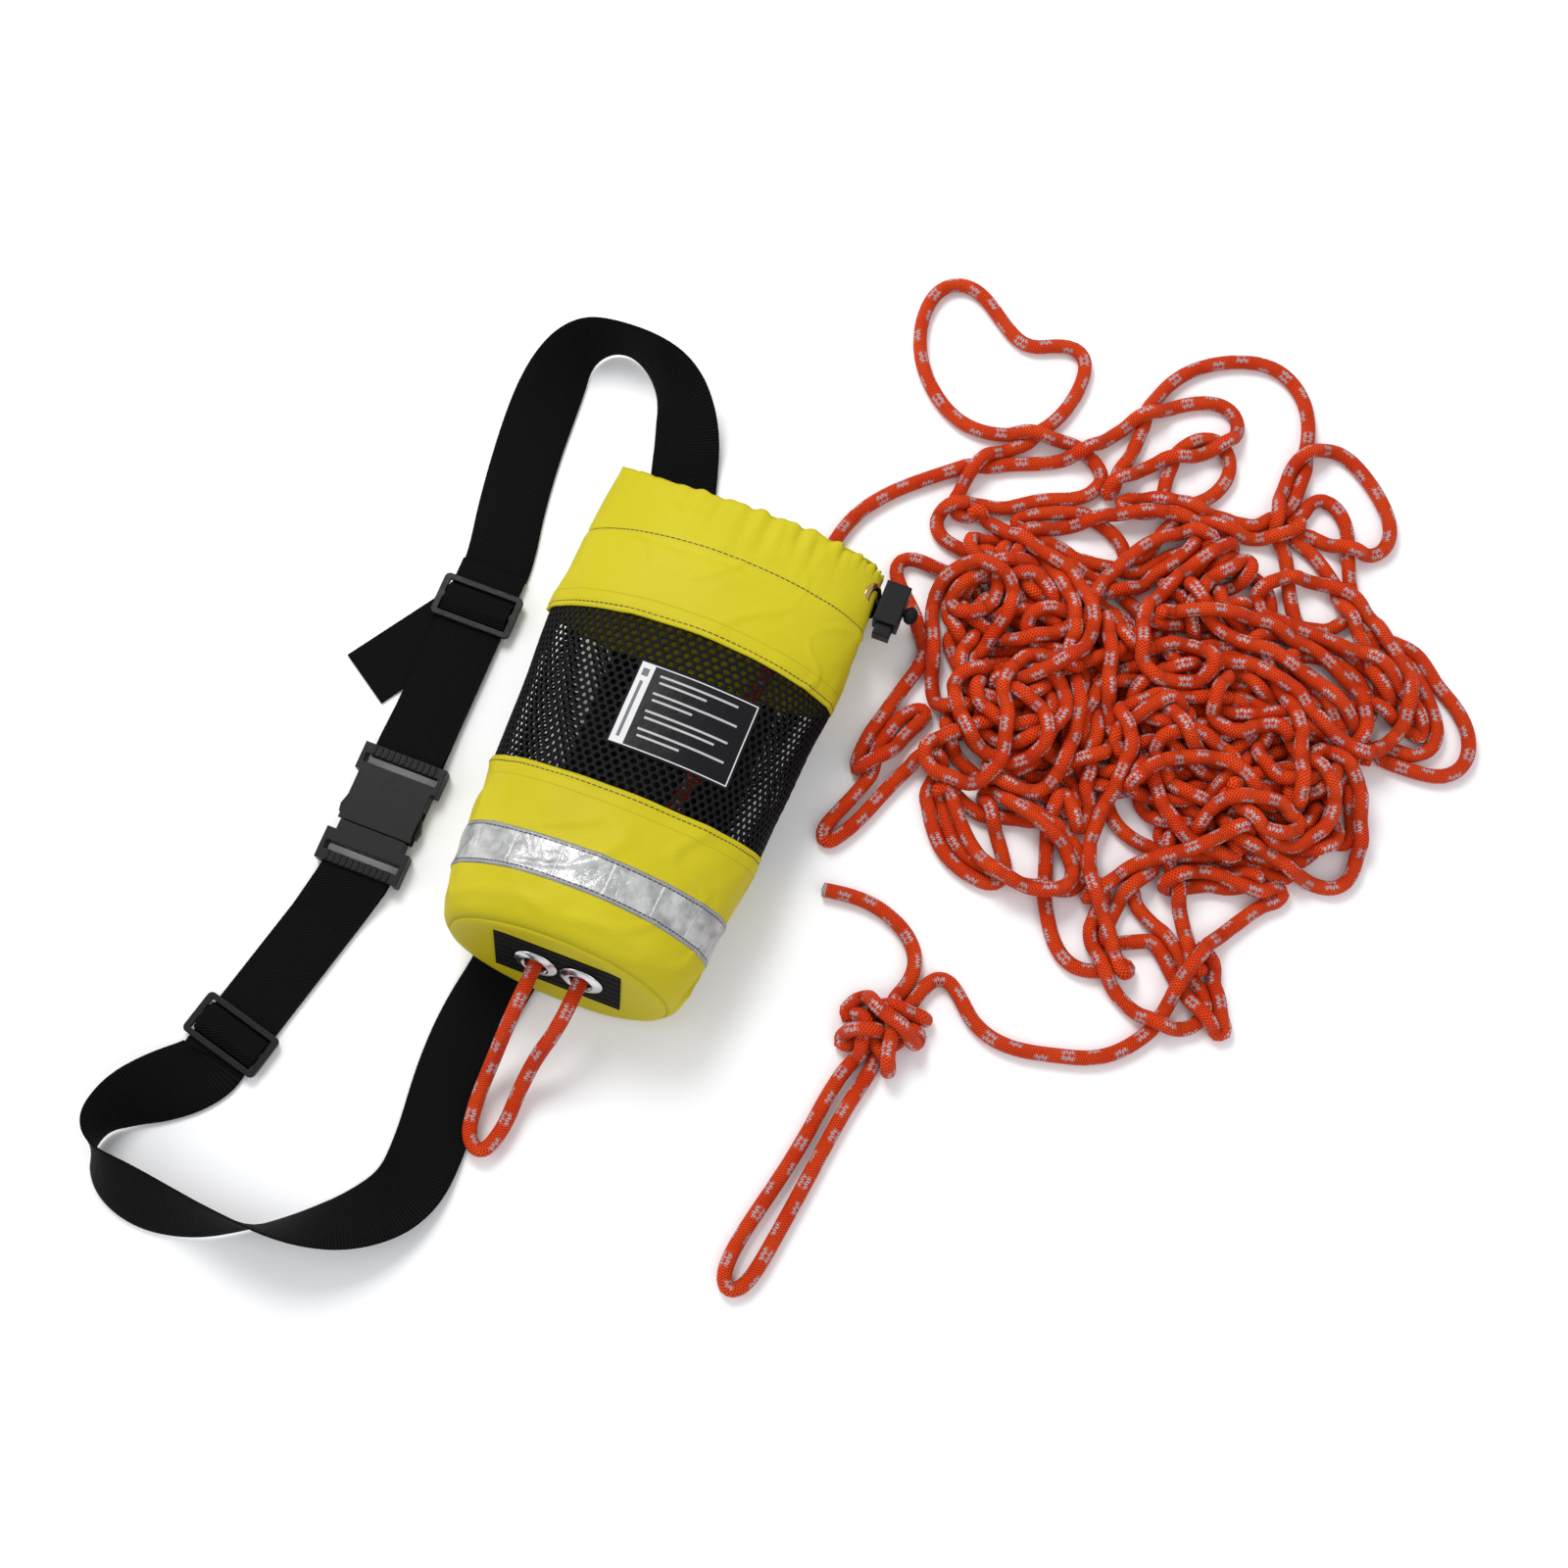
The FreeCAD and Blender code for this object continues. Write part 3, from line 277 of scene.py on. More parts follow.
# The turns of the tangle, in the rope's order: height and line of each stretch that shows.
TANGLE = [
    (9, [(172, 264), (186, 283), (207, 299), (226, 304), (239, 290), (232, 274), (203, 257), (182, 240),
         (174, 226)]),
    (9, [(180, 226), (184, 256), (182, 288), (194, 315), (220, 332), (245, 337), (266, 322), (275, 299),
         (277, 270), (280, 252), (266, 235), (247, 232), (219, 236), (190, 224)]),
    (8, [(208, 232), (204, 255), (212, 278), (230, 281), (241, 264), (236, 247), (226, 234)]),
    (25, [(236, 218), (221, 217), (211, 206), (201, 190), (193, 172)]),
    (17, [(146, 163), (127, 150), (115, 135), (120, 122), (137, 125), (144, 143), (137, 164)]),
    (20, [(148, 171), (165, 164), (181, 152), (187, 136), (188, 120)]),
    (33, [(190, 115), (176, 116), (163, 107), (161, 90), (170, 70), (178, 52), (174, 38), (158, 30),
          (141, 31), (130, 43), (140, 53)]),
    (24, [(126, 78), (118, 95), (109, 118), (107, 136), (116, 153), (135, 158), (150, 150), (153, 134),
          (146, 118), (142, 100)]),
    (27, [(150, 95), (136, 93), (135, 78), (148, 63), (166, 50), (184, 49), (196, 66), (194, 80),
          (182, 89), (167, 91)]),
    (30, [(160, 97), (178, 101), (192, 113), (199, 132), (195, 149), (178, 164), (156, 171), (134, 177),
          (117, 187)]),
    (8, [(100, 194), (97, 211), (115, 228), (134, 250), (143, 277), (141, 305), (123, 306), (106, 292),
         (88, 304), (64, 324), (43, 316), (41, 286), (54, 257), (85, 233), (116, 238), (143, 251),
         (169, 241), (178, 227), (153, 209), (121, 191), (96, 188), (89, 176), (98, 164), (120, 164),
         (144, 163), (154, 153)]),
    (19, [(190, 166), (208, 171), (222, 184), (230, 204), (242, 222)]),
    (31, [(248, 215), (236, 196), (226, 176), (219, 157), (221, 133), (236, 121), (257, 125), (269, 139),
          (264, 150), (248, 152), (229, 141)]),
    (20, [(203, 146), (211, 126), (213, 106), (222, 92)]),
    (28, [(233, 94), (240, 84), (233, 75), (225, 88), (233, 107), (248, 117)]),
    (20, [(243, 115), (258, 103), (280, 92)]),
    (24, [(276, 128), (262, 124), (240, 115), (229, 100)]),
    (31, [(228, 96), (241, 84), (241, 66), (232, 45), (233, 20), (246, 3), (258, -12), (265, -24)]),
    (7, [(268, -32), (254, -41), (238, -36), (225, -16), (219, 2), (211, 27), (210, 45)]),
    (11, [(228, 38), (219, 66), (217, 88), (212, 112)]),
    (28, [(198, 108), (207, 86), (209, 62), (202, 40), (187, 40), (176, 45)]),
    (8, [(188, 38), (205, 31), (222, 31), (240, 10)]),
    (9, [(239, 5), (228, -4), (205, -7), (181, -8), (162, 3), (148, 30)]),
    (17, [(154, 27), (164, 10), (183, -5), (204, -9), (222, -9), (236, 2), (233, 18), (215, 28), (190, 33),
          (172, 36)]),
    (12, [(174, 34), (184, 18), (199, -2)]),
    (7, [(192, -8), (172, -8), (157, 4), (149, 21), (143, 36)]),
    (8, [(140, 48), (126, 30), (115, -3), (107, -18), (101, -25), (96, -18), (102, -4), (111, 18), (111, 43),
         (114, 62), (124, 68)]),
    (10, [(126, 60), (116, 43), (109, 26), (105, 17), (100, 25), (104, 50), (112, 84)]),
    (6, [(116, 104), (98, 122), (79, 138), (83, 150), (100, 149), (116, 146)]),
    (24, [(120, 172), (133, 179), (155, 192), (180, 210), (206, 226), (235, 226), (262, 226), (280, 238)]),
    (7, [(283, 254), (290, 269), (308, 262), (316, 240), (324, 213)]),
    (8, [(299, 192), (291, 205), (287, 220), (278, 234)]),
    (11, [(270, 236), (272, 258), (269, 277), (280, 298), (296, 299), (320, 282), (337, 262), (334, 241),
          (312, 240), (284, 242)]),
    (12, [(287, 238), (305, 228), (322, 210), (339, 193), (349, 178), (360, 166)]),
    (6, [(348, 196), (376, 186), (403, 173), (415, 150), (406, 132), (383, 130), (364, 134)]),
    (7, [(364, 138), (385, 136), (395, 153), (386, 170), (362, 189)]),
    (29, [(380, 158), (372, 168), (350, 181), (325, 184), (300, 182), (277, 182), (271, 195), (284, 213),
          (309, 219), (338, 206), (361, 187), (373, 165), (374, 147), (363, 129), (345, 125), (323, 131),
          (303, 146), (284, 153), (268, 146)]),
    (27, [(270, 140), (267, 123), (275, 109), (290, 108), (297, 122), (314, 124)]),
    (25, [(320, 114), (340, 107), (352, 92), (349, 71), (333, 60), (312, 61), (296, 76)]),
    (32, [(298, 74), (310, 61), (330, 62), (339, 73), (328, 83), (308, 79), (286, 71), (285, 56)]),
    (23, [(300, 46), (280, 47), (263, 59), (253, 75)]),
    (28, [(244, 66), (258, 83), (275, 94), (293, 94), (306, 82)]),
    (24, [(328, 86), (327, 98), (321, 120), (309, 139), (292, 154)]),
    (14, [(316, 152), (335, 142), (354, 130)]),
    (22, [(360, 128), (342, 140), (320, 152), (300, 161), (275, 160), (255, 168), (243, 182)]),
    (20, [(256, 192), (268, 204), (270, 216), (255, 210), (243, 190), (242, 172)]),
    (27, [(228, 162), (243, 172), (265, 177), (292, 177), (318, 176), (340, 168), (351, 152), (350, 134)]),
    (20, [(343, 120), (358, 113), (362, 98), (371, 78), (374, 58), (364, 48), (345, 52), (324, 58),
          (303, 61)]),
    (29, [(304, 58), (290, 43), (272, 33), (258, 21), (248, 6)]),
    (7, [(248, 4), (253, -18), (266, -40), (288, -53), (314, -53), (326, -39), (314, -20), (288, -6),
         (270, 4)]),
    (20, [(268, 27), (261, 8), (258, -10)]),
    (9, [(300, -16), (318, -38), (341, -51), (324, -28), (306, -8)]),
    (10, [(309, -18), (297, 2), (285, 22), (274, 43)]),
    (15, [(284, 26), (297, 40), (320, 34), (342, 44)]),
]
# Turns that lie buried under the others: after which stretch they come, centre, half sizes, how many.
BURIED = {
    3: (168, 192, 34, 13, 1), 4: (150, 140, 38, 34, 2), 5: (172, 84, 36, 30, 3), 7: (165, 112, 44, 40, 2),
    9: (200, 96, 28, 52, 2), 12: (188, 132, 30, 22, 2), 15: (232, 96, 34, 44, 2), 16: (262, 120, 38, 30, 2),
    20: (160, 62, 28, 20, 1), 21: (176, 46, 40, 26, 1), 29: (178, 150, 50, 24, 1), 36: (322, 160, 44, 24, 2),
    37: (318, 108, 36, 34, 3), 39: (330, 84, 32, 34, 2), 40: (268, 82, 40, 30, 3), 42: (282, 110, 50, 40, 2),
    43: (292, 140, 50, 24, 2), 45: (262, 156, 40, 22, 1), 46: (250, 190, 32, 16, 1), 47: (300, 72, 44, 20, 2),
    48: (270, 60, 34, 26, 1), 53: (300, 52, 36, 14, 1),
}
# Out of the tangle along the floor to the knot at the free end.
END_RUN = [(341, 42, 10), (329, 26, 6), (318, 8, 8), (307, -10, 12), (303, -28, 9), (303, -45, 5),
           (296, -62, 4.2), (279, -81, 4.2), (257, -86, 4.2), (231, -93, 4.2), (209, -88, 4.2),
           (196, -72, 4.2), (184, -66, 6)]
KNOT_DOWN = [(178, -78, 12), (173, -91, 8), (168, -101, 7), (160, -112, 7), (151, -123, 8), (144, -120, 13),
             (149, -114, 21), (160, -112, 25), (169, -108, 18), (178, -99, 8), (187, -100, 9),
             (186, -108, 15), (176, -107, 25), (165, -103, 28), (159, -94, 23), (152, -91, 15),
             (147, -98, 9), (144, -106, 12), (152, -104, 22), (161, -106, 22), (164, -111, 14),
             (160, -121, 11), (155, -132, 7)]
HAND_LOOP = [(151, -150, 4.2), (149, -172, 4.2), (143, -202, 4.2), (135, -234, 4.2), (133, -254, 4.2),
             (139, -264, 4.2), (148, -256, 4.2), (152, -230, 4.2), (156, -202, 4.2), (160, -170, 4.2),
             (163, -148, 4.2)]
KNOT_BACK = [(168, -131, 7), (170, -118, 6), (174, -104, 5), (181, -92, 8), (188, -94, 15), (179, -97, 25),
             (168, -96, 28), (158, -98, 15), (156, -106, 8), (160, -114, 14), (167, -115, 13), (174, -122, 7),
             (179, -129, 13), (173, -124, 22), (170, -115, 26), (168, -105, 17), (168, -93, 10)]
TAIL = [(171, -80, 7), (172, -66, 4.2), (163, -54, 4.2), (147, -46, 4.2), (128, -43, 4.2), (110, -47, 4.2)]


def through_below(leaving, arriving):
    """Hidden run, low in the tangle, from the end of one stretch to the start of the next."""
    start, end = Vector(leaving[-1]), Vector(arriving[0])
    out, back = start - Vector(leaving[-2]), end - Vector(arriving[1])
    reach = min(14.0, 0.35 * (end - start).length + 3)
    start = start + out.normalized() * reach
    end = end + back.normalized() * reach
    start.z, end.z = max(5, start.z * 0.6), max(5, end.z * 0.6)
    gap = end - start
    if gap.length < 12:
        return [tuple((start + end) / 2)]
    steps = int(gap.length // 45)
    middle = [start + gap * (step + 1) / (steps + 1) for step in range(steps)]
    return [tuple(start)] + [(p.x, p.y, 6) for p in middle] + [tuple(end)]


def buried_turns(x, y, half_x, half_y, turns):
    """Uneven turns that lie on the floor under the rest."""
    per_turn = 12
    points = []
    for step in range(int(turns * per_turn)):
        angle = step * TAU / per_turn
        lap = step / per_turn
        size = 1 - 0.16 * lap + 0.07 * math.sin(2.3 * angle + x)
        drift_x, drift_y = 5 * math.sin(3.1 * lap + y), 4 * math.cos(2.7 * lap)
        points.append((x + drift_x + half_x * size * math.cos(angle),
                       y + drift_y + half_y * size * math.sin(angle), 5 + 3.5 * lap))
    return points


def rope_route():
    route = list(BAG_RUN)
    for number, (height, line) in enumerate(TANGLE):
        stretches = [[(x, y, height) for x, y in line]]
        if number in BURIED:
            stretches.insert(0, buried_turns(*BURIED[number]))
        for stretch in stretches:
            route += through_below(route, stretch) if number else []
            route += stretch
    return route + END_RUN + KNOT_DOWN + HAND_LOOP + KNOT_BACK + TAIL


def nurbs_line(name, route, fineness=10):
    """Points read along a NURBS curve whose control points are the route's, in mm."""
    curve = bpy.data.curves.new(name, "CURVE")
    curve.dimensions = "3D"
    curve.resolution_u = fineness
    spline = curve.splines.new("NURBS")
    spline.points.add(len(route) - 1)
    for point, place in zip(spline.points, route):
        point.co = (*place, 1)
    spline.order_u = 3
    spline.use_endpoint_u = True
    holder = bpy.data.objects.new(name, curve)
    mesh = bpy.data.meshes.new_from_object(holder)
    points = np.array([v.co for v in mesh.vertices], float)
    bpy.data.objects.remove(holder)
    bpy.data.meshes.remove(mesh)
    return points


def evenly(points, spacing):
    """The same line with points a fixed distance apart."""
    far = np.concatenate([[0], np.cumsum(np.linalg.norm(np.diff(points, axis=0), axis=1))])
    count = max(2, int(round(far[-1] / spacing)) + 1)
    marks = np.linspace(0, far[-1], count)
    return np.stack([np.interp(marks, far, points[:, axis]) for axis in range(3)], 1)


def near_pairs(points, reach, apart):
    """Pairs of points closer than reach that are more than a few steps apart along the rope."""
    small = points.astype(np.float32)
    found = []
    block = 500
    for start in range(0, len(small), block):
        rows = small[start:start + block]
        gap2 = ((rows[:, None, :] - small[None, :, :]) ** 2).sum(2)
        i, j = np.nonzero(gap2 < reach * reach)
        i = i + start
        keep = j - i > apart
        found.append(np.stack([i[keep], j[keep]], 1))
    return np.concatenate(found)


def settle(points, spacing, thick, rounds, held):
    """Lets the rope sink under gravity with its turns lying on each other and not in each other."""
    sink, pull_back, stiffness, spread = 0.22, 0.04, 0.22, 1.2
    shape = points.copy()
    count = len(points)
    for step in range(rounds):
        if step % 12 == 0:
            pairs = near_pairs(points, thick * 1.6, int(thick * 1.3 / spacing) + 1)
        points[:, 2] -= sink
        points[:, :2] += (shape[:, :2] - points[:, :2]) * pull_back
        points[1:-1] += ((points[:-2] + points[2:]) / 2 - points[1:-1]) * stiffness
        for parity in (0, 1):
            a, b = points[parity:-1:2], points[parity + 1::2]
            length = min(len(a), len(b))
            a, b = a[:length], b[:length]
            gap = b - a
            far = np.linalg.norm(gap, axis=1, keepdims=True)
            push = gap * (0.5 * (far - spacing) / np.maximum(far, 1e-6))
            a += push
            b -= push
        i, j = pairs[:, 0], pairs[:, 1]
        for _ in range(2):
            gap = points[i] - points[j]
            far = np.linalg.norm(gap, axis=1)
            close = far < thick
            way = gap[close] * np.array([1, 1, 2.2])
            way /= np.maximum(np.linalg.norm(way, axis=1, keepdims=True), 1e-6)
            push = way * (0.5 * (thick - far[close]))[:, None]
            moved, times = np.zeros_like(points), np.zeros(count)
            for index, sign in ((i[close], 1), (j[close], -1)):
                np.add.at(moved, index, sign * push)
                np.add.at(times, index, 1)
            points += moved / np.maximum(times, 1)[:, None] * spread
        points[:, 2] = np.maximum(points[:, 2], FLOOR_LINE)
        points[held] = shape[held]
    return points


def tube_mesh(name, line, radius, sides, cell):
    """Tube along a line in mm. UV: u counts cells of a fixed length along it, v goes once round it."""
    ahead = np.gradient(line, axis=0)
    ahead /= np.linalg.norm(ahead, axis=1, keepdims=True)
    side = np.cross(ahead[0], (0, 0, 1.0))
    side = side / np.linalg.norm(side) if np.linalg.norm(side) > 1e-6 else np.array([1.0, 0, 0])
    across = []
    for tangent in ahead:
        side = side - tangent * (side @ tangent)
        side = side / np.linalg.norm(side)
        across.append(side)
    across = np.array(across)
    up = np.cross(ahead, across)
    angles = (np.arange(sides) * TAU / sides)[None, :, None]
    ring = across[:, None, :] * np.cos(angles) + up[:, None, :] * np.sin(angles)
    points = (line[:, None, :] + ring * radius).reshape(-1, 3)
    far = np.concatenate([[0], np.cumsum(np.linalg.norm(np.diff(line, axis=0), axis=1))]) / cell
    faces, uvs = [], []
    for row in range(len(line) - 1):
        for k in range(sides):
            after = (k + 1) % sides
            here, there = row * sides, (row + 1) * sides
            faces.append((here + k, here + after, there + after, there + k))
            uvs += [(far[row], k / sides), (far[row], (k + 1) / sides), (far[row + 1], (k + 1) / sides),
                    (far[row + 1], k / sides)]
    for row, order in ((0, -1), (len(line) - 1, 1)):
        centre = len(points)
        points = np.vstack([points, line[row] + ahead[row] * radius * 0.3 * order])
        for k in range(sides):
            rim = (row * sides + k, row * sides + (k + 1) % sides)
            faces.append((*rim[::order], centre))
            uvs += [(far[row], 0.5)] * 3
    obj = mesh_object(name, points * MM, faces)
    set_uv(obj, uvs)
    return obj


def throw_rope():
    spacing = 4.0
    line = evenly(nurbs_line("rope_line", rope_route()), spacing)
    inside_bag = np.nonzero(line[:70, 1] < 120)[0]
    line = settle(line, spacing, ROPE + 0.1, 140, inside_bag)
    line = evenly(line, 2.0)
    obj = tube_mesh("throw_rope", line, ROPE / 2, 12, TRACER_CELL)
    length = np.linalg.norm(np.diff(line, axis=0), axis=1).sum()
    obj.data.materials.append(rope_material(length / TRACER_CELL))
    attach(obj, "bag")
    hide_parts("rope_bag_run", "rope_far_loop", "rope_top_loop", "rope_right_loop", "rope_lock_loop",
                "rope_left_loop", "rope_end_run", "rope_tail", "rope_hand_loop", "rope_heap",
                "rope_top_turns", "rope_side_turns", "rope_foot_turns", "rope_base_knot", "hand_loop_knot")


# ---------------------------------------------------------------------------------------------
# Form of the filled bag
# ---------------------------------------------------------------------------------------------
# Place along the bag, half width, half height and lean in degrees of each cross-section, from the base up.
SECTIONS = np.array([(-143, 60, 38, 13), (-140, 63.6, 40.2, 12.4), (-131, 66.8, 42.2, 11),
                     (-114, 69, 41.6, 8), (-98, 70.5, 40.5, 5), (-72, 73, 38.5, 1.5), (-46, 75.5, 36.5, 0),
                     (-8, 78, 35, 0), (33, 80.5, 33, 0), (84, 80, 29, 0), (110, 79.3, 25.2, 0),
                     (131, 78, 22, 0)], float)
CROWN_GAP, UNDERSIDE = 1.5, 3.8
BASE, BAND_LOW, BAND_HIGH, MESH_BOTTOM, MESH_TOP, MOUTH = -143, -116, -91, -52, 37, 129
BASE_LEAN = math.radians(13)
EYELETS = {"left": -11.6, "right": 13.6}    # their places across the base
ROUND = 400                 # length round the bag, mm, as its UVs count it


def skin(along, angle, out=0.0):
    """Points on the bag's skin, moved outwards by out. The angle is 0 on the right and 90 degrees on top."""
    along, angle, out = np.broadcast_arrays(np.asarray(along, float), angle, out)
    wide, high, lean = (np.interp(along, SECTIONS[:, 0], SECTIONS[:, column]) for column in (1, 2, 3))
    up = (high + out) * np.sin(angle)
    lean = np.radians(lean)
    x = (wide + out) * np.cos(angle)
    y = along + up * np.sin(lean)
    z = high + CROWN_GAP + up * np.cos(lean)
    floor = UNDERSIDE - np.minimum(out, 0)
    z = np.where(z < floor + 4, floor + 4 * np.exp((z - floor - 4) / 4), z)
    return np.stack([x, y, z], -1)


def rough(x, y, size, seed):
    """Smooth noise from -1 to 1 over a plane, for arrays."""
    flat = [noise.noise((px / size, py / size, seed)) for px, py in zip(np.ravel(x), np.ravel(y))]
    return np.array(flat).reshape(np.shape(x))


def crumple(along, angle):
    """Soft dents and creases of the cloth, mm outwards."""
    around = angle / TAU * ROUND
    dents = 1.5 * rough(around, along, 42, 3.1)
    dents = dents + 0.9 * rough(around + along * 0.7, along - around * 0.4, 17, 8.7)
    crease = 1 - np.abs(rough(around * 0.6 + along, along * 0.5 - around * 0.5, 30, 5.3)) * 7
    return dents + 1.1 * np.clip(crease, 0, 1)


def base_frame(along, up=0.0, across=0.0):
    """A place on the leaning base: along runs into the bag, up its face."""
    return (across, BASE + along * math.cos(BASE_LEAN) + up * math.sin(BASE_LEAN),
            38 + CROWN_GAP - along * math.sin(BASE_LEAN) + up * math.cos(BASE_LEAN))


def grid_mesh(name, rows, closed, uvs=None):
    """A sheet of quads through rows of points, in mm; closed joins each row's ends into a ring."""
    count, wide = rows.shape[:2]
    faces, corners = [], []
    for i in range(count - 1):
        for j in range(wide if closed else wide - 1):
            k = (j + 1) % wide
            faces.append((i * wide + j, i * wide + k, (i + 1) * wide + k, (i + 1) * wide + j))
            if uvs is not None:
                after = j + 1
                corners += [uvs[i, j], uvs[i, after], uvs[i + 1, after], uvs[i + 1, j]]
    obj = mesh_object(name, rows.reshape(-1, 3) * MM, faces)
    if uvs is not None:
        set_uv(obj, corners)
    return obj


def thicken(obj, thick, offset):
    solid = obj.modifiers.new("thick", "SOLIDIFY")
    solid.thickness, solid.offset = thick * MM, offset
    return apply_modifiers(obj)


def tube_panel(name, low, high, thick, columns, spacing, shape):
    """A panel right round the bag between the lines low(angle) and high(angle). Its UVs are mm round the bag
    and mm from its lower edge; shape gives the cloth's offset outwards and along."""
    angles = np.arange(columns) * TAU / columns
    count = int(max(high(angles) - low(angles)) / spacing) + 2
    share = np.linspace(0, 1, count)[:, None]
    along = low(angles)[None] * (1 - share) + high(angles)[None] * share
    angle = np.broadcast_to(angles, along.shape)
    out, shift = shape(along, angle)
    rows = skin(along + shift, angle, out)
    around = np.linspace(0, ROUND, columns + 1)
    far = along - low(angles)[None]
    far = np.concatenate([far, far[:, :1]], 1)
    uvs = np.stack([np.broadcast_to(around, far.shape), far], -1)
    return thicken(grid_mesh(name, rows, True, uvs), thick, -1)


def mesh_top(angle):
    return MESH_TOP + 6 * np.clip(np.sin(angle), 0, 1) ** 2


def level(along):
    """A panel's edge that runs straight round the bag."""
    return lambda angle: along + 0 * angle


def rim(angle):
    left, right = np.clip(-np.cos(angle), 0, 1), np.clip(np.cos(angle), 0, 1)
    return MOUTH - 1.5 + 6 * left ** 6 - 4 * right ** 4


def place_on(obj, node, material):
    obj.data.materials.append(material)
    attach(obj, "bag")
    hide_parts(node)


# ---------------------------------------------------------------------------------------------
# Cloth: yellow panels, net, band, label
# ---------------------------------------------------------------------------------------------
def yellow_cloth(name, stitches, folds):
    """Coated nylon. Rows of stitches and ends of doubled hems are given in mm from the lower edge."""
    shader = Shader(name, (0.50, 0.42, 0.01), 0.52, specular=0.14)
    around, along = shader.uv()
    tone = shader.noise(9, 4)
    yellow = shader.ramp(tone, (0.25, (0.46, 0.375, 0.006)), (0.5, (0.515, 0.44, 0.010)),
                         (0.8, (0.55, 0.475, 0.015)))
    weave = shader.math("MAXIMUM", wave(shader, shader.math("ADD", around, along), 0.36),
                        wave(shader, shader.math("SUBTRACT", around, along), 0.36))
    weave = shader.math("GREATER_THAN", weave, 0.93)
    height = shader.math("MULTIPLY", weave, 0.05)
    for place in folds:
        step = shader.node("ShaderNodeMapRange", {0: along, 1: place - 0.5, 2: place + 0.5, 3: 0.45, 4: 0.0})
        height = shader.math("ADD", height, step.outputs[0])
        # A darker yellow line is painted along each hem's fold: painted shade beside the step of the doubled
        # cloth.
        edge = shader.near(along, place + 0.2, 0.3, 0.25)
        yellow = shader.mix(shader.math("MULTIPLY", edge, 0.28), yellow, (0.30, 0.25, 0.004))
    for place in stitches:
        line = shader.near(along, place, 0.36, 0.12)
        gap = shader.math("GREATER_THAN", wave(shader, around, 1 / 2.7), 0.12)
        yellow = shader.mix(shader.math("MULTIPLY", line, gap), yellow, (0.06, 0.055, 0.02))
        dip = shader.math("MULTIPLY", shader.near(along, place, 1.3, 0.8), 0.35)
        height = shader.math("SUBTRACT", height, dip)
    creases = shader.math("MULTIPLY", shader.noise(60, 5), 0.5)
    below = shader.bump(creases, 0.35, 0.002)
    shader.colour(yellow)
    shader.bump(height, 0.9, 0.001, below)
    return shader.material


def upper_panel():
    def shape(along, angle):
        around = angle / TAU * ROUND
        up = np.clip((along - 88) / 36, 0, 1)
        right = (np.cos(angle) + 1.15) / 2.15
        bend = 2.4 * rough(around, along, 24, 1.7)
        gather = np.sin(around / 13 * TAU + bend) + 0.6 * np.sin(around / 7.6 * TAU - bend)
        out = np.clip(crumple(along, angle), 0, 3) * (1 - 0.5 * up)
        out = out + up ** 1.5 * right * 1.25 * (gather + 1)
        shift = up ** 3 * (right * 1.1 * gather + 1.2 * rough(around, along, 19, 6.6))
        hem = np.clip((along - MOUTH + 44) / 3, 0, 1) - np.clip((along - MOUTH + 41) / 3, 0, 1)
        flat = np.clip(np.hypot((along - 108) / 20, (angle + 0.5) % TAU - 0.55) - 0.6, 0, 0.6) / 0.6
        return (out - 0.7 * np.abs(hem)) * flat, shift

    obj = tube_panel("upper_cloth", mesh_top, rim, 1.2, 320, 2.0, shape)
    place_on(obj, "upper_panel", yellow_cloth("yellow_upper", (3.0, 50.5), (10.5,)))


def lower_panel():
    def shape(along, angle):
        grow = np.clip((along - BASE + 3) / 14, 0, 1)
        return crumple(along, angle) * (0.35 + 0.65 * grow), 0 * along

    obj = tube_panel("lower_cloth", level(BASE), level(MESH_BOTTOM), 1.2, 280, 2.2, shape)
    place_on(obj, "lower_panel", yellow_cloth("yellow_lower", (88.0,), (81.0,)))


def base_panel():
    """Disc sewn into the foot, bulging slightly, with two holes for the eyelets."""
    columns, shares = 140, np.array([1.0, 0.985, 0.94, 0.86, 0.74, 0.6, 0.45, 0.3, 0.15, 0.02])
    depths = [0.7, -0.7, -1.1, -0.5, 0.2, 0.3, 0.3, 0.3, 0.3, 0.3]
    angles = np.arange(columns) * TAU / columns
    edge = 0.35 * crumple(np.full(columns, float(BASE)), angles)
    rows = []
    for share, depth in zip(shares, depths):
        rows.append([base_frame(depth, (38 + out) * share * math.sin(angle),
                                (60 + out) * share * math.cos(angle)) for angle, out in zip(angles, edge)])
    rows = np.array(rows)
    rows[..., 2] = np.maximum(rows[..., 2], UNDERSIDE + 0.4)
    around = np.linspace(0, ROUND, columns + 1)
    uvs = np.stack(np.broadcast_arrays(around[None], (1 - shares)[:, None] * 60), -1)
    obj = thicken(grid_mesh("base_cloth", rows[:, ::-1], True, uvs), 1.2, -1)
    for across in EYELETS.values():
        bpy.ops.mesh.primitive_cylinder_add(radius=6.8 * MM, depth=60 * MM, vertices=40,
                                            location=Vector(base_frame(0, 0, across)) * MM,
                                            rotation=(math.radians(90) - BASE_LEAN, 0, 0))
        drill = bpy.context.object
        hole = obj.modifiers.new("hole", "BOOLEAN")
        hole.object, hole.operation = drill, "DIFFERENCE"
        apply_modifiers(obj)
        bpy.data.objects.remove(drill)
    place_on(obj, "base_panel", yellow_cloth("yellow_base", (), ()))


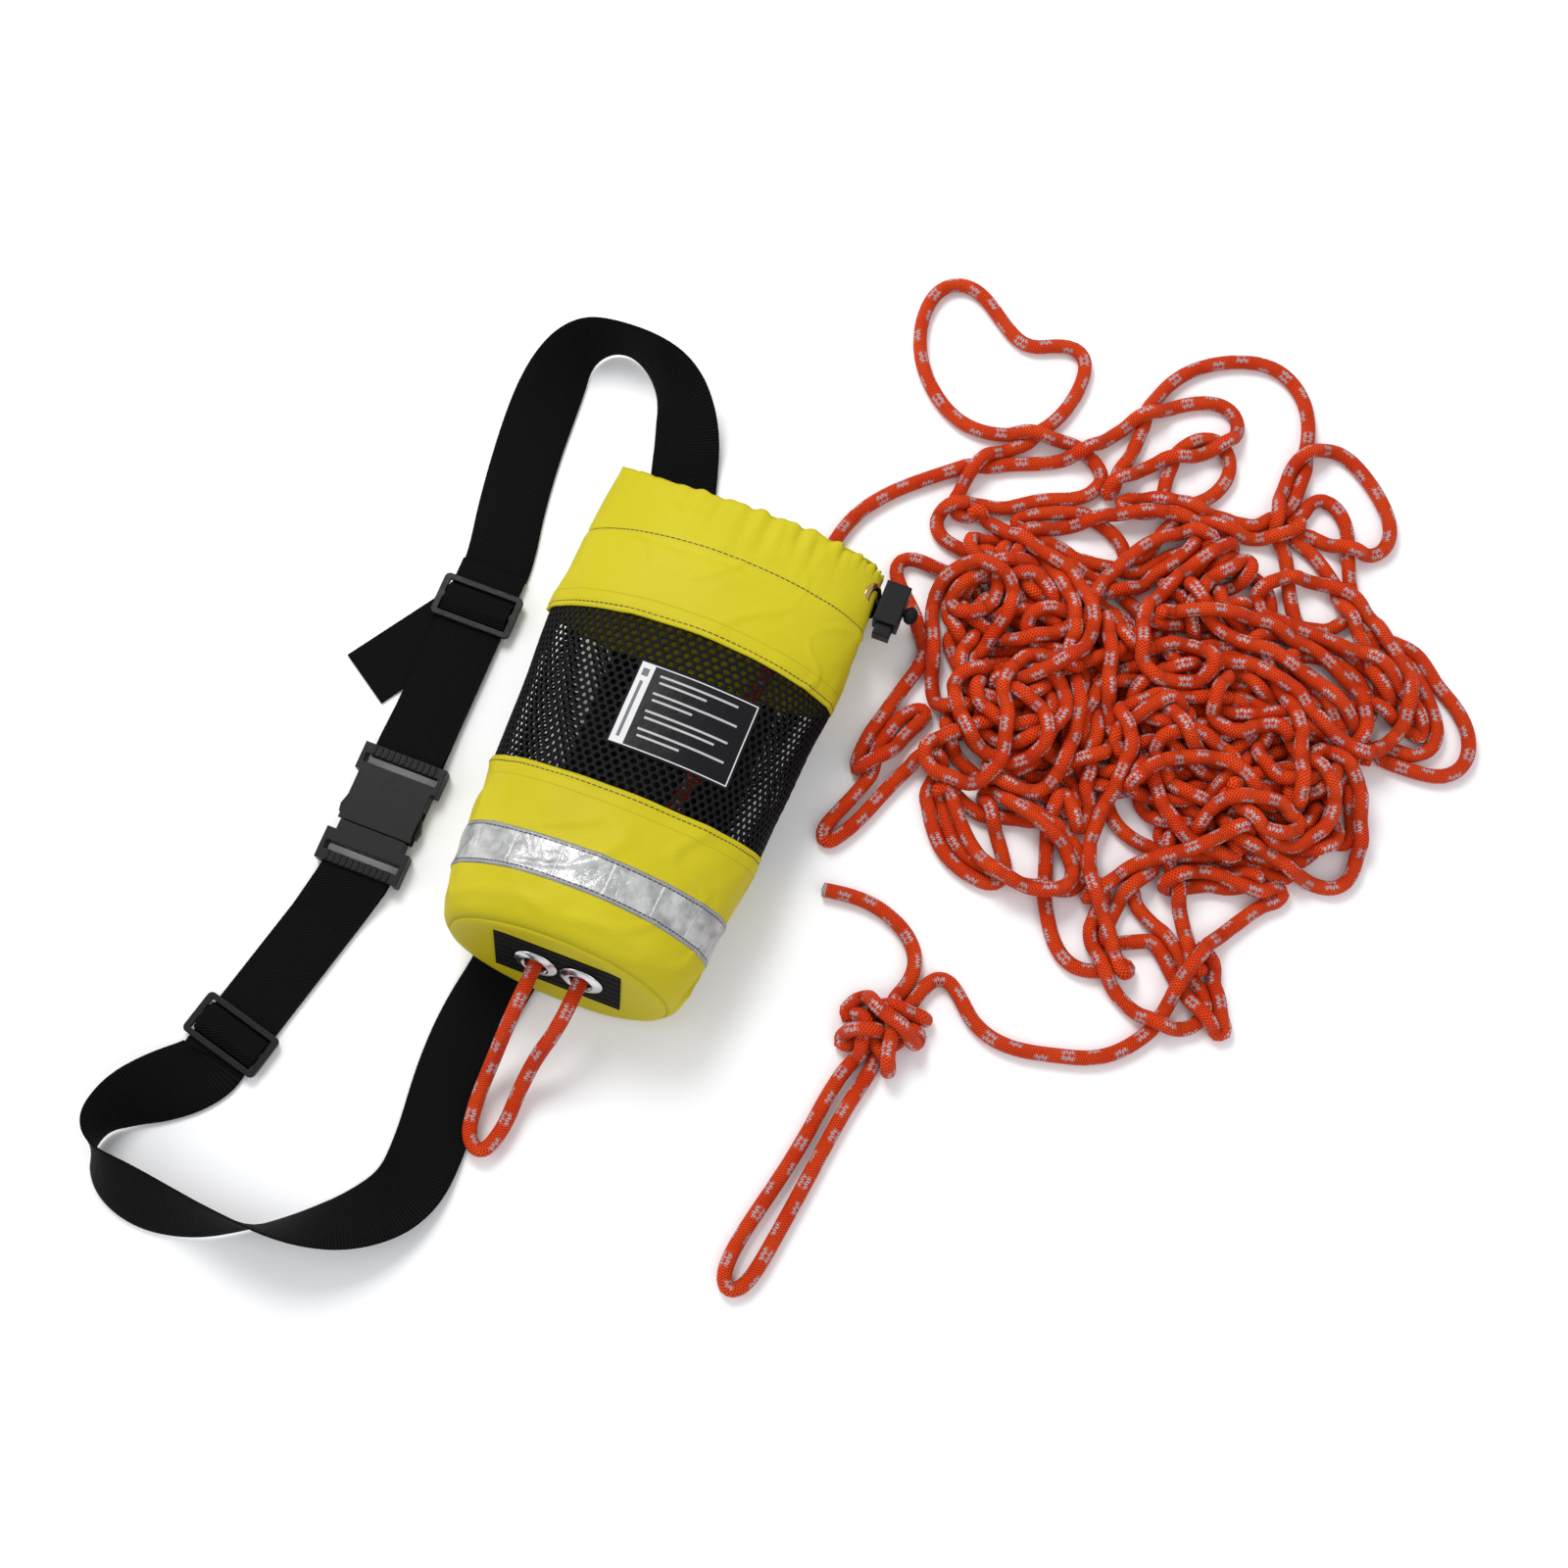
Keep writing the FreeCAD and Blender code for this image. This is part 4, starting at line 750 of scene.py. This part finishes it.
def net():
    """Knitted net: rows of oval holes, the rows offset by half a hole, with strands a millimetre thick."""
    columns, count, sides = 88, 25, 12
    turns = np.arange(sides) * TAU / sides + math.radians(30)
    circle = np.stack([np.cos(turns), np.sin(turns)], 1)
    corner, rise = 0.5774, 0.866        # of a hexagon one unit wide, and from row to row
    outline = circle * corner * np.tile([1.0, rise], sides // 2)[:, None]
    hole = circle * 0.34 * (1.22 ** -0.5, 1.22 ** 0.5)
    points, faces = [], []
    for row in range(count):
        for column in range(columns):
            first = len(points)
            centre = (column + 0.5 * (row % 2), row * rise)
            points += [*(outline + centre), *(hole + centre)]
            for k in range(sides):
                j = (k + 1) % sides
                faces.append((first + k, first + j, first + sides + j, first + sides + k))
    flat = np.array(points)
    share = (flat[:, 1] + 0.577) / ((count - 1) * rise + 1.154)
    angle = flat[:, 0] / columns * TAU
    top = mesh_top(angle) + 0.8
    along = (MESH_BOTTOM - 0.6) * (1 - share) + top * share
    sag = -0.9 * (1 - (2 * share - 1) ** 2) + 0.8 * rough(angle * 60, along, 30, 2.2)
    obj = mesh_object("net_cloth", skin(along, angle, sag - 0.3) * MM, faces)
    weld = obj.modifiers.new("weld", "WELD")
    weld.merge_threshold = 0.00012
    apply_modifiers(obj)
    thicken(obj, 0.9, -1)
    shader = Shader("black_net", (0.005, 0.005, 0.0055), 0.5, specular=0.08)
    shader.bump(shader.noise(2400, 2), 0.5, 0.0003)
    place_on(obj, "mesh_panel", shader.material)


def band():
    """Reflective tape sewn round the lower panel."""
    def shape(along, angle):
        edge = np.clip(np.minimum(along - BAND_LOW, BAND_HIGH - along) / 1.5, 0, 1)
        return crumple(along, angle) + 0.95 + 0.25 * edge, 0 * along

    obj = tube_panel("silver_band", level(BAND_LOW), level(BAND_HIGH), 0.5, 280, 1.6, shape)
    width = BAND_HIGH - BAND_LOW
    shader = Shader("silver_tape", (0.5, 0.5, 0.5), 0.3, metallic=0.2, specular=0.4)
    around, along = shader.uv()
    facets = shader.node("ShaderNodeTexVoronoi", {"Vector": shader.place(), "Scale": 420.0})
    creases = shader.noise(95, 5)
    # The tape's grey follows the crease height that also drives the bump: painted shade in the hollows and
    # painted highlight on the crests.
    silver = shader.ramp(creases, (0.30, (0.22, 0.22, 0.22)), (0.46, (0.36, 0.36, 0.355)),
                         (0.60, (0.50, 0.50, 0.49)))
    silver = shader.mix(shader.math("MULTIPLY", facets.outputs["Distance"], 0.15), silver, (0.6, 0.6, 0.6))
    lap = shader.math("FRACT", shader.math("DIVIDE", around, 25.0))
    weld = shader.near(lap, 0.5, 0.018, 0.010)
    silver = shader.mix(weld, silver, (0.56, 0.56, 0.55))
    border = shader.math("MAXIMUM", shader.near(along, 0.0, 2.6, 0.2), shader.near(along, width, 2.6, 0.2))
    silver = shader.mix(border, silver, (0.30, 0.30, 0.30))
    stitch = shader.math("MAXIMUM", shader.near(along, 2.3, 0.34, 0.1),
                         shader.near(along, width - 2.3, 0.34, 0.1))
    gap = shader.math("GREATER_THAN", wave(shader, around, 1 / 2.7), 0.15)
    shader.colour(shader.mix(shader.math("MULTIPLY", stitch, gap), silver, (0.03, 0.03, 0.05)))
    below = shader.bump(creases, 0.8, 0.003)
    shader.bump(shader.math("SUBTRACT", shader.math("MULTIPLY", weld, 0.6), stitch), 0.6, 0.0006, below)
    place_on(obj, "reflective_band", shader.material)


def label():
    """Printed cloth label: pale frame and side strip, with plain bars where print would be."""
    across, along = np.meshgrid(np.linspace(-18, 49, 48), np.linspace(-30, 20, 36))
    wide = np.interp(along, SECTIONS[:, 0], SECTIONS[:, 1])
    angle = np.arccos(across / wide)
    out = 0.9 + 0.35 * rough(across, along, 22, 4.4)
    rows = skin(along, angle, out)
    obj = thicken(grid_mesh("printed_label", rows, False, np.stack([across, along], -1)), 0.6, -1)
    shader = Shader("label_print", (0.008, 0.008, 0.009), 0.4)
    x, y = shader.uv()
    ink = (0.62, 0.62, 0.62)

    def block(left, right, low, high, soft=0.12):
        inside_x = shader.near(x, (left + right) / 2, (right - left) / 2, soft)
        inside_y = shader.near(y, (low + high) / 2, (high - low) / 2, soft)
        return shader.math("MULTIPLY", inside_x, inside_y)

    frame_area = shader.math("SUBTRACT", block(-16.6, 47.6, -28.6, 18.6), block(-16.0, 47.0, -28.0, 18.0))
    marks = [frame_area, block(-16.4, -9.0, -28.4, 18.4)]
    bars = [(12.6, 38), (8.9, 22), (2.4, 41), (-1.3, 18), (-8.0, 40), (-11.7, 34), (-18.4, 42), (-22.1, 19)]
    for number, (low, right) in enumerate(bars):
        bar = block(-4 if number % 2 else -5, right, low + 0.5, low + 1.7, 0.2)
        marks.append(shader.math("MULTIPLY", bar, 0.7))
    mark = marks[0]
    for other in marks[1:]:
        mark = shader.math("MAXIMUM", mark, other)
    dark = shader.math("MAXIMUM", block(-14.0, -12.2, -25, 8), block(-14.8, -11.2, 11, 15.4))
    mark = shader.math("MULTIPLY", mark, shader.math("SUBTRACT", 1.0, shader.math("MULTIPLY", dark, 0.8)))
    shader.colour(shader.mix(shader.math("MINIMUM", mark, 1.0), (0.008, 0.008, 0.009), ink))
    shader.bump(shader.noise(110, 3), 0.4, 0.0012)
    place_on(obj, "warning_label", shader.material)


# ---------------------------------------------------------------------------------------------
# Webbing belt
# ---------------------------------------------------------------------------------------------
def webbing(name, from_uv, turn=0.0, tone=0.0035):
    """Black ribbed webbing. Without UVs the ribs lie across the Y axis, turned by an angle in degrees."""
    shader = Shader(name, (tone, tone, tone * 1.1), 0.65, specular=0.04)
    if from_uv:
        along, across = shader.uv()
    else:
        split = shader.node("ShaderNodeSeparateXYZ", {0: shader.place()})
        x, y = (shader.math("MULTIPLY", split.outputs[axis], 1000) for axis in (0, 1))
        lean = math.radians(turn)
        along = shader.math("ADD", shader.math("MULTIPLY", y, math.cos(lean)),
                            shader.math("MULTIPLY", x, math.sin(lean)))
        across = shader.math("SUBTRACT", shader.math("MULTIPLY", x, math.cos(lean)),
                             shader.math("MULTIPLY", y, math.sin(lean)))
    weft = wave(shader, along, 1 / 1.35)
    warp = wave(shader, shader.math("ADD", across, shader.math("MULTIPLY", along, 0.5)), 1 / 1.1)
    height = shader.math("ADD", weft, shader.math("MULTIPLY", warp, 0.4))
    # The colour follows the weave's height: painted highlight on the raised ribs and painted shade between
    # them.
    dark, painted_rib_highlight = (tone * 0.5,) * 3, (tone * 2.6, tone * 2.6, tone * 2.8)
    shader.colour(shader.mix(shader.math("MULTIPLY", height, 0.6), dark, painted_rib_highlight))
    shader.bump(height, 0.8, 0.0005)
    return shader.material


def strap(name, stations):
    """Webbing through stations (x, y, lean): lean rolls it from flat (0) to standing on its edge (90)."""
    line = evenly(nurbs_line(name + "_line", stations, 14), 2.0)
    lean = np.radians(line[:, 2])
    ahead = np.gradient(line[:, :2], axis=0)
    ahead /= np.linalg.norm(ahead, axis=1, keepdims=True)
    side = np.stack([ahead[:, 1], -ahead[:, 0], 0 * lean], 1)
    across = side * np.cos(lean)[:, None] + np.array([0, 0, 1]) * np.sin(lean)[:, None]
    along = np.concatenate([[0], np.cumsum(np.linalg.norm(np.diff(line[:, :2], axis=0), axis=1))])
    lift = STRAP_LEVEL + STRAP_THICK / 2 + STRAP_WIDTH / 2 * np.abs(np.sin(lean))
    centre = np.column_stack([line[:, :2], lift])
    normal = np.cross(across, np.column_stack([ahead, 0 * lean]))
    reach = np.array([-1, -0.94, -0.5, 0, 0.5, 0.94, 1]) * STRAP_WIDTH / 2
    half = STRAP_THICK / 2 * np.array([0.35, 1, 1, 1, 1, 1, 0.35])
    ring = [(r, h) for r, h in zip(reach, half)] + [(r, -h) for r, h in zip(reach[::-1], half[::-1])]
    rows = np.stack([centre + across * r + normal * h for r, h in ring], 1)
    uvs = np.array([[(far, r) for r, _ in ring + ring[:1]] for far in along])
    obj = grid_mesh(name, rows, True, uvs)
    cap = bpy.data.meshes.new(name + "_closed")
    mesh = bmesh.new()
    mesh.from_mesh(obj.data)
    bmesh.ops.holes_fill(mesh, edges=[e for e in mesh.edges if e.is_boundary])
    bmesh.ops.recalc_face_normals(mesh, faces=mesh.faces)
    mesh.to_mesh(cap)
    mesh.free()
    obj.data = cap
    obj.data.materials.append(webbing(name + "_weave", True))
    return obj, along[-1]


# The strap in two lengths, which meet inside the back sleeve: place and lean in degrees.
UPPER_STRAP = [(-127, 57, 0), (-127, 66, 0), (-134, 98, 0), (-139, 138, -6), (-139, 173, -30),
               (-132, 198, -66), (-114, 210, -92), (-92, 207, -80), (-70, 195, -46), (-57, 174, -16),
               (-50, 151, 0), (-36, 102, 0), (-24, 60, 0), (-21, 42, 0), (-21, 36, 0)]
LOWER_STRAP = [(-21, 36, 0), (-21, 30, 0), (-20, 0, 0), (-22, -58, 0), (-28, -105, 0), (-32, -149, 0),
               (-37, -180, 0), (-37, -210, 0), (-32, -248, 0), (-33, -276, -8), (-50, -297, -30),
               (-74, -311, -58), (-100, -320, -90), (-130, -327, -122), (-160, -328, -138),
               (-185, -321, -122), (-195, -303, -84), (-186, -285, -52), (-172, -270, -24),
               (-162, -259, -4), (-156.5, -250.5, 0), (-156.5, -246, 0)]


def belt():
    upper, upper_length = strap("belt_strap_upper", UPPER_STRAP)
    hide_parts("belt_upper_run")
    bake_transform(upper)
    lower, lower_length = strap("belt_strap_lower", LOWER_STRAP)
    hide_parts("belt_middle", "belt_lower_run")
    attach(lower, "bag")
    flat = webbing("webbing_straight", False)
    turned = webbing("webbing_turned", False, -14)
    tail = webbing("webbing_tail", False, -36)
    for node, material in (("belt_upper_loop", flat), ("belt_fold_upper", flat), ("belt_lower_loop", turned),
                           ("belt_fold_lower", turned), ("belt_tail", tail)):
        paint(node, material)


# ---------------------------------------------------------------------------------------------
# Base loop, eyelets, fittings
# ---------------------------------------------------------------------------------------------
def paint(node, material):
    mesh = bpy.data.objects[node].data
    mesh.materials.clear()
    mesh.materials.append(material)


def base_loop():
    left, right = EYELETS["left"], EYELETS["right"]
    route = [base_frame(26, 0, left), base_frame(-12, 0, left), (-14, -178, 33), (-17, -197, 14),
             (-18, -218, 8), (-15, -238, 7), (-4, -243, 7), (1, -226, 7), (1, -206, 9), (4, -189, 20),
             (11, -173, 36), base_frame(-12, 0, right), base_frame(26, 0, right)]
    line = evenly(nurbs_line("base_loop_line", route, 16), 1.5)
    obj = tube_mesh("base_loop", line, ROPE / 2, 16, TRACER_CELL)
    obj.data.materials.append(bpy.data.materials["rope_braid"])
    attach(obj, "bag")
    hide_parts("rope_base_loop")


def lathe(name, profile, place, axis):
    """A ring turned from a closed profile (radius, along the axis) in mm."""
    columns = 64
    turn = Vector(axis).to_track_quat("Z", "Y").to_matrix()
    rows = []
    for radius, along in profile + profile[:1]:
        rows.append([Vector(place) + turn @ Vector((radius * math.cos(k * TAU / columns),
                                                    radius * math.sin(k * TAU / columns), along))
                     for k in range(columns)])
    obj = grid_mesh(name, np.array(rows), True)
    weld = obj.modifiers.new("weld", "WELD")
    weld.merge_threshold = 0.000001
    return apply_modifiers(obj)


def metal(name, colour, roughness):
    shader = Shader(name, colour, roughness, metallic=1.0)
    shader.bump(shader.noise(500, 2), 0.05, 0.0001)
    return shader.material


def eyelets():
    nickel = metal("nickel", (0.66, 0.66, 0.68), 0.22)
    outward = (0, -math.cos(BASE_LEAN), math.sin(BASE_LEAN))
    profile = [(6.3, -4), (6.3, 1.2), (6.7, 2.3), (7.6, 2.9), (8.6, 2.7), (10.2, 1.9), (11.4, 1.5), (12, 1.0),
               (11.9, 0.5), (7.2, 0.5), (7.0, -4)]
    for side, across in EYELETS.items():
        obj = lathe(f"eyelet_{side}", profile, base_frame(-1.2, 0, across), outward)
        place_on(obj, f"base_eyelet_{side}", nickel)
        paint(f"base_washer_{side}", nickel)
    brass = metal("brass", (0.62, 0.42, 0.17), 0.25)
    ring = [(5.1, -3), (5.1, 0.8), (5.5, 1.7), (6.4, 2.2), (7.4, 2.0), (8.8, 1.3), (9.8, 0.9), (10, 0.4),
            (9.8, 0.0), (5.7, 0.0), (5.6, -3)]
    tilt = 0.45
    obj = lathe("mouth_grommet", ring, (78.4, 108, 28.6), (math.cos(tilt), 0, math.sin(tilt)))
    place_on(obj, "drawcord_grommet", brass)


def acetal(name, tone, radius):
    """Moulded black plastic with softened edges and a fine grain."""
    shader = Shader(name, (tone, tone, tone * 1.05), 0.4, specular=0.16)
    soft = shader.node("ShaderNodeBevel", {"Radius": radius * MM}, samples=6).outputs[0]
    shader.roughness(shader.ramp(shader.noise(300, 2), (0.3, (0.36,) * 3), (0.7, (0.5,) * 3)))
    shader.bump(shader.noise(1500, 2), 0.15, 0.0002, soft)
    return shader.material


def lock_spring():
    """Coil spring between the cord lock's button and the closed end of its body."""
    low, high = (Vector(corner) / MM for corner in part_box("cord_lock_spring"))
    middle, wire = (low + high) / 2, 0.35
    radius = (high.z - low.z) / 2 - wire
    turns, travel = 3.5, high.y - low.y - 2 * wire
    share = np.linspace(0, 1, 120)
    angle = TAU * turns * share
    line = np.stack([middle.x + radius * np.cos(angle), low.y + wire + travel * share,
                     middle.z + radius * np.sin(angle)], 1)
    obj = tube_mesh("lock_coil", line, wire, 8, 16)
    obj.data.materials.append(metal("spring", (0.55, 0.55, 0.57), 0.3))
    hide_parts("cord_lock_spring")
    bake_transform(obj)


def fittings():
    moulded = acetal("black_plastic", 0.009, 0.8)
    for node in ("buckle_female", "buckle_male", "buckle_arm_left", "buckle_arm_right", "tri_glide_upper",
                 "tri_glide_lower"):
        paint(node, moulded)
    lock = acetal("lock_plastic", 0.004, 1.4)
    paint("cord_lock_body", lock)
    paint("cord_lock_plunger", lock)
    cord = Shader("draw_cord", (0.010, 0.010, 0.011), 0.7)
    cord.bump(cord.noise(1800, 2), 0.7, 0.0004)
    cloth = Shader("sleeve_cloth", (0.014, 0.014, 0.015), 0.75)
    cloth.bump(cloth.noise(1400, 2), 0.5, 0.0003)
    foam = Shader("foam", (0.86, 0.86, 0.84), 0.85)
    foam.bump(foam.noise(700, 3), 0.5, 0.0005)
    hem = yellow_cloth("yellow_hem", (), ())
    patch = webbing("patch_weave", False, 0, 0.006)
    for name in [obj.name for obj in bpy.data.objects]:
        if name.startswith("drawcord") and name != "drawcord_channel":
            paint(name, cord.material)
    for node, material in (("drawcord_channel", hem), ("back_sleeve", cloth.material), ("base_patch", patch),
                           ("foam_float", foam.material)):
        paint(node, material)


camera()
studio()
throw_rope()
upper_panel()
lower_panel()
base_panel()
net()
band()
label()
belt()
base_loop()
eyelets()
lock_spring()
fittings()
